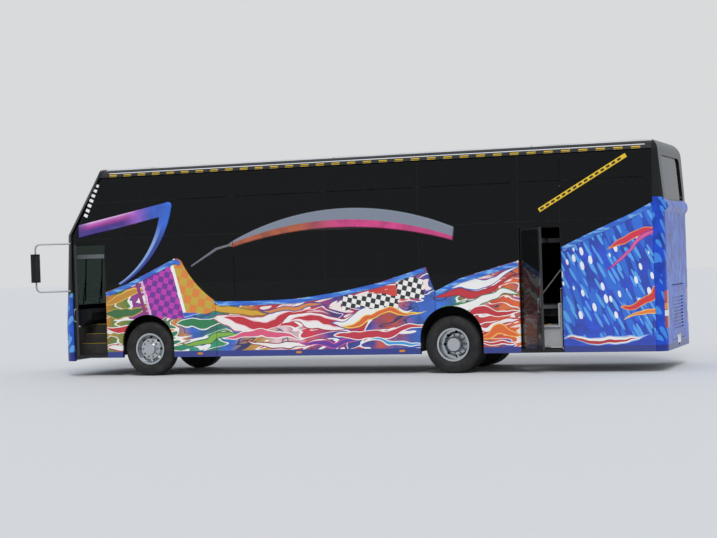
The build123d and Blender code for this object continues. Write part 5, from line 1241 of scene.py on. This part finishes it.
# %% Rows of marks
slash_lean = atan2(slash_rise, slash_run)
glass_tilt = atan(lean_share)
film_rows = [
    # name, count, first mark, step, lean, tilt, long, wide, material, slot
    ("slash_dashes_low_", 4, (9.85, 2.928), 0.115, slash_lean, 0.0, 0.070, 0.034, black_film, "black_body"),
    ("slash_dashes_high_", 11, (10.249, 3.158), 0.115, slash_lean, glass_tilt, 0.070, 0.034, black_film, "black_body"),
    ("pillar_marks_", 7, (0.635, 3.17), 0.105, radians(66.7), glass_tilt, 0.058, 0.085, white_film, "painted_panel"),
]
for side, side_name in sides:
    for name, *measures in film_rows:
        film_row(name + side_name, side, *measures)
    level_row("roof_dashes_" + side_name, 34, (front_x - 1.25, side * 1.1835, 3.925), 0.312,
              side * (-pi / 2 + radians(24)), 0.165, 0.042, 0.0015, yellow_film, "painted_panel")
    roof_line = [(u, side * 1.160, 3.972) for u in (1.15, 11.70)]
    bar_along("roof_line_" + side_name, roof_line, 0.004, 0.016, 0.001, 0.0, white_film)
    level_row("side_markers_" + side_name, 3, (front_x - 3.05, side * 1.250, 0.425), 2.05,
              side * -pi / 2, 0.105, 0.038, 0.012, amber_lens, "lamp_glass")
    print("marks", side_name)

# %% Corner panes and bead ends
# A pane closes the glass over the front end of each arch, and a short bridge leads the bead into it.
corner_outline = [(3.796, 2.573), (3.850, 2.598), (3.900, 2.622), (4.000, 2.667), (4.066, 2.696), (3.796, 2.696)]
bead_end = [(3.694, 2.456), (3.694, 2.499), (3.740, 2.522), (3.790, 2.551), (3.798, 2.452)]
for name, outline, y0, y1, edge, slot, material in (
    ("corner_pane_", corner_outline, 1.2150, 1.2203, 0.0008, "tinted_glass", side_glass),
    ("bead_end_", bead_end, 1.2200, 1.2480, 0.003, "painted_panel", moulding_paint),
):
    for side, side_name in sides:
        shape = bmesh.new()
        add_slab(shape, outline, side * y0, side * y1, edge)
        finish_shape(name + side_name, shape, "coach", slot, material)
        print(name + side_name)

# %% [markdown]
# ## Seats
#
# A seat pad is foam under a sewn cover, so its top is crowned between the seams. That form comes from a cloth
# simulation: a flat-sided pad is blown up a little from inside, while the seams stay where they are sewn.
# One cushion and one back are made in this way, and copies of them go to every seat.

# %% A pad as it is cut
def grid_box(name, size, cells, squeeze=0.06):
    """A box of a grid of faces, with its edges drawn in, as a foam pad is cut."""
    shape = bmesh.new()
    grid = {}

    def corner(at):
        if at not in grid:
            t = [2 * step / count - 1 for step, count in zip(at, cells)]
            drawn = [t[axis] * (1 - squeeze * max(abs(t[(axis + 1) % 3]), abs(t[(axis + 2) % 3])) ** 6)
                     for axis in range(3)]
            grid[at] = shape.verts.new([half * length / 2 for half, length in zip(drawn, size)])
        return grid[at]

    for flat in (2, 1, 0):
        a, b = [axis for axis in range(3) if axis != flat]
        for p in range(cells[a]):
            for q in range(cells[b]):
                for end in (0, cells[flat]):
                    face = []
                    for more_a, more_b in ((0, 0), (1, 0), (1, 1), (0, 1)):
                        at = [end] * 3
                        at[a], at[b] = p + more_a, q + more_b
                        face.append(corner(tuple(at)))
                    shape.faces.new(face)
    bmesh.ops.recalc_face_normals(shape, faces=shape.faces)
    shape.verts.index_update()
    places = {at: vert.index for at, vert in grid.items()}
    return to_mesh(name, shape), places


# %% Foam pads by cloth simulation
cloth_frames = 20


def blown_up(pad):
    """The pad's mesh after the cover has swollen between its seams."""
    cover = pad.modifiers.new("cover", "CLOTH").settings
    cover.quality = 6
    cover.mass = 0.3
    cover.use_pressure = True
    cover.uniform_pressure_force = 4.0
    cover.bending_stiffness = 0.4
    cover.effector_weights.gravity = 0.0
    cover.vertex_group_mass = "sewn"
    frame_at_start = bpy.context.scene.frame_current
    for frame_number in range(1, cloth_frames + 1):
        bpy.context.scene.frame_set(frame_number)
    swollen = evaluated_mesh(pad)
    bpy.context.scene.frame_set(frame_at_start)
    pad.modifiers.clear()
    return swollen


def simulated_pad(name, size, cells, channels, cap=0.020):
    """A pad whose cover is blown up between its seams: the sides' edges, the underside and the sewn channels."""
    mesh, places = grid_box(name, size, cells)
    flat = [vert.co.copy() for vert in mesh.vertices]
    pad = new_object(name, mesh)
    sewn = pad.vertex_groups.new(name="sewn")
    nx, ny, nz = cells
    held = [index for (i, j, k), index in places.items()
            if k == 0 or (k == nz and (i in (0, nx) or j in (0, ny) or j in channels))]
    sewn.add(held, 1.0, "REPLACE")
    swollen = blown_up(pad)
    for vert, start in zip(swollen.vertices, flat):
        move = vert.co - start
        vert.co = start + move * min(1.0, cap / max(move.length, 1e-9))
    pad.data = swollen
    rounder = pad.modifiers.new("rounder", "SUBSURF")
    rounder.levels = rounder.render_levels = 1
    finished = evaluated_mesh(pad)
    bpy.data.objects.remove(pad)
    rise = max(vert.co.z for vert in finished.vertices) - size[2] / 2
    print(name, "faces", len(finished.polygons), "crown", round(rise, 4))
    return finished


seat_width = 0.410
cushion_mesh = simulated_pad("cushion", (seat_width, 0.410, 0.105), (8, 8, 2), (3, 6))
back_mesh = simulated_pad("seat_back", (seat_width, 0.720, 0.090), (8, 12, 2), (3, 6, 9))

# %% Seat cloth
# Moquette: cut wool pile on a coach seat. It has a soft sheen at grazing angles and a printed confetti pattern
# that hides stains; the weave shows as a fine bump.
cloth_blue = "1C2A55"
confetti_colours = [(0.0, "B8323E"), (0.3, "2F8C9C"), (0.6, "C9A43A"), (0.85, "5A62B0"), (1.0, cloth_blue)]
moquette, tree, shader = new_material(
    "printed_wool_moquette", cloth_blue, 0.85, Sheen_Weight=0.5, Sheen_Roughness=0.4)
place = object_place(tree)
confetti = add_node(tree, "ShaderNodeTexVoronoi", links={"Vector": place, "Scale": 38.0}).outputs
hue = add_node(tree, "ShaderNodeSeparateColor", confetti["Color"])
chip_colour = add_ramp(tree, hue.outputs["Red"], confetti_colours, "CONSTANT")
chips = under(tree, confetti["Distance"], 0.34)
set_base(tree, shader, lay_over(tree, cloth_blue, chip_colour, chips))
pile = add_node(tree, "ShaderNodeTexNoise", links={"Vector": place, "Scale": 900.0, "Detail": 1.0})
add_bump(tree, shader, pile, 0.0008, 0.8)
print(moquette.name)

# %% Shells and legs
# Seat shells: blow-moulded polyethylene in graphite, with a fine orange-peel skin.
shell_plastic = one_colour(
    "moulded_graphite_shell", "2B2D31", 0.48, grain=(300, 2, 0.0004), wander=(10, 3, 0.4, 0.56))

# Powder-coated steel of the seat legs, silver grey with a slight texture.
leg_coat = one_colour("powder_coated_steel", "7C7F84", 0.5, grain=(600, 1, 0.0003), Metallic=0.3)
print(shell_plastic.name, leg_coat.name)


# %% Placing pads and plates
def pad_place(u, y, z, lean, scale=(1, 1, 1)):
    """Where a pad goes: its middle, turned so that it faces forwards and leans back by that angle."""
    across = Matrix.Rotation(-pi / 2, 4, "Z")
    leaned = Matrix.Rotation(-lean, 4, "Y")
    return Matrix.Translation((front_x - u, y, z)) @ leaned @ across @ Matrix.Diagonal((*scale, 1))


def copies(name, placings, body, slot, material):
    """One piece of many pads: placings are (mesh, matrix)."""
    shape = bmesh.new()
    for mesh, matrix in placings:
        first = len(shape.verts)
        shape.from_mesh(mesh)
        shape.verts.ensure_lookup_table()
        bmesh.ops.transform(shape, matrix=matrix, verts=shape.verts[first:])
    whole = to_mesh(name, shape)
    whole.shade_smooth()
    piece = finish_piece(new_object(name, whole), body, slot, material)
    return piece


def add_plates(shape, outline, start, middles, half, edge):
    """The same plate at several middles in y: its outline is given from start, as (behind the front, height)."""
    drawn = [(start[0] + u, start[1] + z) for u, z in outline]
    for y in middles:
        add_slab(shape, drawn, y - half, y + half, edge)


# %% Passenger seats
seat_pitch = 0.83
back_lean = atan2(0.14, 0.68)
seat_rows = {
    # deck: first cushion's front, floor height, rows on the left and on the right
    "upper": (1.45, 2.400, 10, 12),
    "lower": (3.30, 0.620, 4, 4),
}
seat_middles, arm_middles, leg_middles = (0.462, 0.918), (0.252, 1.118), (0.360, 1.020)
shell_back = [(0.555, 0.33), (0.575, 0.33), (0.700, 1.05), (0.690, 1.11), (0.668, 1.10)]
shell_pan = [(0.02, 0.285), (0.56, 0.285), (0.56, 0.325), (0.00, 0.325)]
arm = [(0.14, 0.575), (0.50, 0.600), (0.50, 0.645), (0.13, 0.615)]
leg = [(0.10, 0.001), (0.38, 0.001), (0.36, 0.025), (0.27, 0.060), (0.33, 0.288), (0.13, 0.288), (0.19, 0.060),
       (0.10, 0.025)]

for deck, (first_u, floor_z, *row_counts) in seat_rows.items():
    pads = []
    shells, legs = bmesh.new(), bmesh.new()
    for (side, side_name), rows in zip(sides, row_counts):
        for row in range(rows):
            u = first_u + seat_pitch * row
            for y in (side * middle for middle in seat_middles):
                pads.append((cushion_mesh, pad_place(u + 0.215, y, floor_z + 0.372, -0.05)))
                pads.append((back_mesh, pad_place(u + 0.535, y, floor_z + 0.770, pi / 2 - back_lean)))
                add_plates(shells, shell_back, (u, floor_z), [y], 0.195, 0.004)
                add_plates(shells, shell_pan, (u, floor_z), [y], 0.200, 0.008)
            add_plates(shells, arm, (u, floor_z), [side * y for y in arm_middles], 0.020, 0.009)
            add_plates(legs, leg, (u, floor_z), [side * y for y in leg_middles], 0.014, 0.004)
    cushions = copies(deck + "_seat_pads", pads, "coach", "seat_cloth", moquette)
    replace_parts(cushions, deck + "_seats")
    finish_shape(deck + "_seat_shells", shells, "coach", "dark_plastic", shell_plastic)
    finish_shape(deck + "_seat_legs", legs, "coach", "frame_steel", leg_coat)
    print(deck, "deck seats", len(pads) // 2)

# %% Driver's seat
driver_u, driver_y, driver_floor = 0.80, -0.640, 1.000
wide = 0.480 / seat_width
driver_pads = [
    (mesh, pad_place(driver_u + u, driver_y, driver_floor + z, lean, scale)) for mesh, u, z, lean, scale in (
        (cushion_mesh, 0.225, 0.400, -0.07, (wide, 1.06, 1.15)),
        (back_mesh, 0.520, 0.770, radians(76), (wide, 0.90, 1.25)),
        (cushion_mesh, 0.600, 1.115, radians(78), (0.62, 0.36, 0.85)),
    )]
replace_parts(copies("driver_seat_pads", driver_pads, "coach", "seat_cloth", moquette), "driver_seat")

bellows_rib = [(0.10, 0.0), (0.42, 0.0), (0.44, 0.024), (0.42, 0.049), (0.10, 0.049), (0.08, 0.024)]
base_plates = [
    # outline, half width, edge: pan, back, bellows' ribs, foot
    ([(0.02, 0.300), (0.48, 0.300), (0.50, 0.340), (0.00, 0.345)], 0.235, 0.012),
    ([(0.54, 0.32), (0.57, 0.32), (0.640, 1.06), (0.610, 1.09)], 0.225, 0.008),
    *(([(u, 0.045 + 0.050 * rib + z) for u, z in bellows_rib], 0.170, 0.006) for rib in range(5)),
    ([(0.08, 0.001), (0.46, 0.001), (0.46, 0.040), (0.08, 0.040)], 0.200, 0.008),
]
base = bmesh.new()
for outline, half, edge in base_plates:
    add_plates(base, outline, (driver_u, driver_floor), [driver_y], half, edge)
finish_shape("driver_seat_base", base, "coach", "dark_plastic", shell_plastic)
print("driver's seat", len(driver_pads), "pads")

# %% [markdown]
# ## Rails, handles, nosings and plates
#
# Someone who boards the coach holds a stainless rail and steps on a yellow nosing. The doors, the flap and the
# engine lid have a pull each, which rides on its own leaf and so moves with it.

# %% Rails
def tube_along(name, points, radius, bend, material, body="coach", slot="chrome"):
    """A round tube along points given as (behind the front, out from the middle, height)."""
    return bar_along(name, points, 2 * radius, 2 * radius, radius * 0.98, bend, material, body, slot)


for name, points, radius, bend in (
    ("front_stanchion", [(1.070, 0.570, 1.002), (1.070, 0.570, 2.318)], 0.016, 0.0),
    ("front_step_rail", [(1.055, 1.150, 0.92), (1.055, 1.090, 0.92), (1.055, 1.090, 1.72), (1.055, 1.150, 1.72)],
     0.014, 0.05),
    ("rear_stair_rail", [(9.62, 0.600, 0.48), (9.62, 0.600, 1.36), (11.02, 0.600, 3.06), (11.02, 0.600, 2.402)],
     0.016, 0.10),
):
    tube_along(name, points, radius, bend, brushed_tube)
    print(name)

# %% Nosings
# Extruded PVC in safety yellow, ribbed so that the edge of a step is felt and seen.
front_rise, rear_going, rear_rise, rear_steps = 0.1833, 0.320, 0.390, 5
yellow_pvc, tree, shader = new_material("ribbed_yellow_nosing", "D8B21E", 0.5)
add_bump(tree, shader, add_node(tree, "ShaderNodeTexWave", object_place(tree), links={"Scale": 90.0}), 0.0012)
nosings = {}
for step in range(3):
    y, z = 0.985 - 0.190 * step, 0.637 + front_rise * step
    nosings["front_nosing_%d" % (step + 1)] = [(0.330, y, z), (1.000, y, z)]
for step in range(rear_steps):
    u, z = 9.782 + rear_going * step, 0.844 + rear_rise * step
    nosings["rear_nosing_%d" % (step + 1)] = [(u, 0.580, z), (u, 1.140, z)]
for name, points in nosings.items():
    bar_along(name, points, 0.034, 0.008, 0.003, 0.0, yellow_pvc, slot="rubber")
print("nosings", len(nosings))

# %% Pulls and rails of the left doors
def on_leaf(hinge, angle, along, out, z):
    """A point on an open left door leaf: along it from its hinge, and out from its middle."""
    x = hinge[0] - along * cos(angle) + out * sin(angle)
    y = hinge[1] + along * sin(angle) + out * cos(angle)
    return (front_x - x, y, z)


for name, hinge, angle, length in (
    ("front_door", (5.499, 1.197), radians(60), 0.64), ("rear_door", (-3.581, 1.197), radians(47), 0.71),
):
    edge, stop = length - 0.045, length - 0.10
    grip = [(edge, 0.020, 1.10), (edge, 0.052, 1.10), (edge, 0.052, 1.34), (edge, 0.020, 1.34)]
    rail = [(0.09, -0.020, 1.00), (0.09, -0.060, 1.00), (stop, -0.060, 1.00), (stop, -0.020, 1.00)]
    for part, points, radius, bend in (("_pull", grip, 0.009, 0.02), ("_rail", rail, 0.012, 0.03)):
        drawn = [on_leaf(hinge, angle, *point) for point in points]
        tube_along(name + part, drawn, radius, bend, brushed_tube, name + "_leaf")
    print(name, "pull and rail")

# %% Pulls of the emergency door, the flap and the lid
for name, body, radius, points in (
    ("emergency_pull", "emergency_leaf", 0.008,
     [(6.460, -1.215, 1.08), (6.460, -1.245, 1.08), (6.460, -1.245, 1.28), (6.460, -1.215, 1.28)]),
    ("flap_pull", "luggage_flap_leaf", 0.008,
     [(10.30, -1.245, 0.560), (10.30, -1.272, 0.560), (10.46, -1.272, 0.560), (10.46, -1.245, 0.560)]),
    ("lid_pull", "engine_lid_leaf", 0.009,
     [(11.995, -0.10, 0.600), (12.022, -0.10, 0.600), (12.022, 0.10, 0.600), (11.995, 0.10, 0.600)]),
):
    tube_along(name, points, radius, 0.015, brushed_tube, body)
    print(name, "on", body)

# %% Stair cheek
# The cheek closes the rear stairs towards the door, in the same flooring as the treads.
cheek_foot, first_tread = 0.455, 0.805
risers = [9.772 + rear_going * step for step in range(rear_steps)]
stepped = [(risers[0], cheek_foot)]
for step, (u, following) in enumerate(zip(risers, risers[1:])):
    z = first_tread + rear_rise * step
    stepped += [(u, z), (following, z)]
cheek = bmesh.new()
add_slab(cheek, stepped + [(risers[-1], cheek_foot)], 1.118, 1.132, 0.002)
finish_shape("rear_stair_cheek", cheek, "coach", "floor", step_vinyl)
print("cheek with", len(risers), "risers")

# %% Blank plates
# Number plates: blank pressed aluminium under white reflective sheet, with a raised rim.
plate_sheet, tree, shader = new_material("reflective_plate_sheet", "E6E7E3", 0.35, Coat_Weight=0.3)
glint = add_node(tree, "ShaderNodeTexVoronoi", links={"Vector": object_place(tree), "Scale": 450.0})
add_bump(tree, shader, glint.outputs["Distance"], 0.0003, 0.5)
rim_y, rim_foot, rim_head = 0.163, 0.452, 0.588
for name, u, way in (("front", -0.001, 1), ("rear", 12.0, -1)):
    blank = grown("plate_" + name, dash_tree, {
        "Count": 1, "Start": (front_x - u + way * 0.0005, 0, 0.520), "Step": (0, 0, 0),
        "Turn": (pi / 2, 0, way * pi / 2), "Long": 0.340, "Wide": 0.150, "Thick": 0.003, "Material": plate_sheet})
    finish_piece(blank, "coach", "painted_panel")
    rim = [(u - way * 0.004, y, z) for y, z in (
        (-rim_y, rim_foot), (rim_y, rim_foot), (rim_y, rim_head), (-rim_y, rim_head))]
    bar_along("plate_rim_" + name, rim, 0.004, 0.004, 0.0015, 0.008, plate_sheet, closed=True)
    print("plate", name)

# %% [markdown]
# ## The engine bay
#
# The lid at the tail opens on the engine, so its face gets what a mechanic sees first: a ribbed cover, belt
# pulleys, an air filter and a silencer. They are turned or cut like the parts before them.

# %% Engine cover
# Sand-cast aluminium keeps the grain of its mould.
cast_alloy = one_colour("sand_cast_aluminium", "9A9C9E", 0.5, grain=(320, 2, 0.0006), Metallic=0.9)
rib_count, rib_pitch = 7, 0.125
cover = bmesh.new()
add_slab(cover, [(10.55, 1.435), (11.52, 1.435), (11.50, 1.515), (10.57, 1.515)], -0.20, 0.20, 0.016)
for rib in range(rib_count):
    u = 10.66 + rib_pitch * rib
    add_slab(cover, [(u, 1.500), (u + 0.030, 1.500), (u + 0.026, 1.530), (u + 0.004, 1.530)], -0.17, 0.17, 0.004)
finish_shape("engine_cover", cover, "coach", "cast_steel", cast_alloy)
print("cover with", rib_count, "ribs")


# %% Pulleys
def turned_lengthwise(name, profile, steps, x, y, z, material, slot):
    """A profile of (radius, distance forwards) turned about a line along the coach."""
    piece = turned(name, profile, steps, (0, 0, 0))
    piece.data.transform(Matrix.Translation((x, y, z)) @ Matrix.Rotation(-pi / 2, 4, "Z"))
    return finish_piece(piece, "coach", slot, material)


engine_face_x = -5.790
for name, y, z, radius in (
    ("crank", 0.00, 0.72, 0.110), ("pump", 0.00, 1.08, 0.090), ("alternator", 0.27, 1.20, 0.048),
    ("tensioner", -0.14, 0.92, 0.040),
):
    groove = [
        (0.0, -0.062), (radius * 0.35, -0.062), (radius * 0.4, -0.050), (radius * 0.86, -0.046), (radius, -0.060),
        (radius, -0.056), (radius - 0.006, -0.052), (radius - 0.006, -0.034), (radius, -0.030), (radius, -0.026),
        (radius * 0.45, -0.024), (radius * 0.35, 0.002), (0.0, 0.002)]
    turned_lengthwise("pulley_" + name, groove, 36, engine_face_x, y, z, zinc_plate, "cast_steel")
    print("pulley", name)

# %% Belt
belt_run = [
    # out from the middle and height, round the outside of the pulleys
    (0.0, 0.606), (0.060, 0.624), (0.100, 0.665), (0.112, 0.70), (0.318, 1.185), (0.312, 1.222), (0.285, 1.250),
    (0.255, 1.246), (0.0, 1.174), (-0.045, 1.160), (-0.082, 1.120), (-0.094, 1.080), (-0.099, 0.93),
    (-0.112, 0.72), (-0.100, 0.665), (-0.060, 0.624),
]
belt_middle, belt_thickness = Vector((0.05, 0.92)), 0.008
belt = bmesh.new()
rings = []
for x, shrink in ((-0.050, 0.0), (-0.036, 0.0), (-0.036, belt_thickness), (-0.050, belt_thickness)):
    drawn = [Vector(point) + (belt_middle - Vector(point)).normalized() * shrink for point in belt_run]
    rings.append([belt.verts.new((engine_face_x + x, *point)) for point in drawn])
for ring, following in zip(rings, rings[1:] + rings[:1]):
    for i in range(len(belt_run)):
        j = (i + 1) % len(belt_run)
        belt.faces.new((ring[i], ring[j], following[j], following[i]))
finish_shape("engine_belt", belt, "coach", "rubber", seal_rubber)
print("belt over", len(belt_run), "points")

# %% Filter, silencer and pipes
# The silencer's steel has browned with heat.
hot_steel, tree, shader = new_material("heat_stained_steel", "8A837A", 0.42, Metallic=1.0)
stain = surface_noise(tree, 6, 4)
set_base(tree, shader, add_ramp(tree, stain, [(0.35, "8F8B85"), (0.55, "7A6248"), (0.75, "54483E")]))
can = [
    # radius, distance forwards: lid, clamp ring, flank, foot
    (0.0, -0.26), (0.085, -0.26), (0.105, -0.25), (0.110, -0.235), (0.110, -0.225), (0.118, -0.222),
    (0.118, -0.208), (0.110, -0.205), (0.110, 0.20), (0.100, 0.225), (0.070, 0.235), (0.0, 0.235),
]
can_x, can_y = -5.48, 0.530
turned_lengthwise("air_filter", can, 40, can_x, can_y, 1.150, shell_plastic, "dark_plastic")
turned_lengthwise("silencer", can, 40, can_x, -can_y, 0.880, hot_steel, "cast_steel")
straps = bmesh.new()
for u in (11.20, 11.46):
    for foot, y0, y1 in ((1.255, 0.505, 0.555), (0.985, -0.555, -0.505)):
        add_slab(straps, [(u, foot), (u + 0.03, foot), (u + 0.03, 1.558), (u, 1.558)], y0, y1, 0.002)
finish_shape("bay_straps", straps, "coach", "frame_steel", leg_coat)
tube_along("intake_hose", [(11.42, can_y, 1.262), (11.42, can_y, 1.40), (11.42, 0.180, 1.475)],
           0.035, 0.08, bellows_rubber, slot="rubber")
exhaust = [(11.52, -0.395, 1.000), (11.70, -0.395, 1.000), (11.70, -can_y, 0.880), (11.58, -can_y, 0.880)]
tube_along("exhaust_pipe", exhaust, 0.030, 0.06, hot_steel, slot="cast_steel")
print("engine bay done")
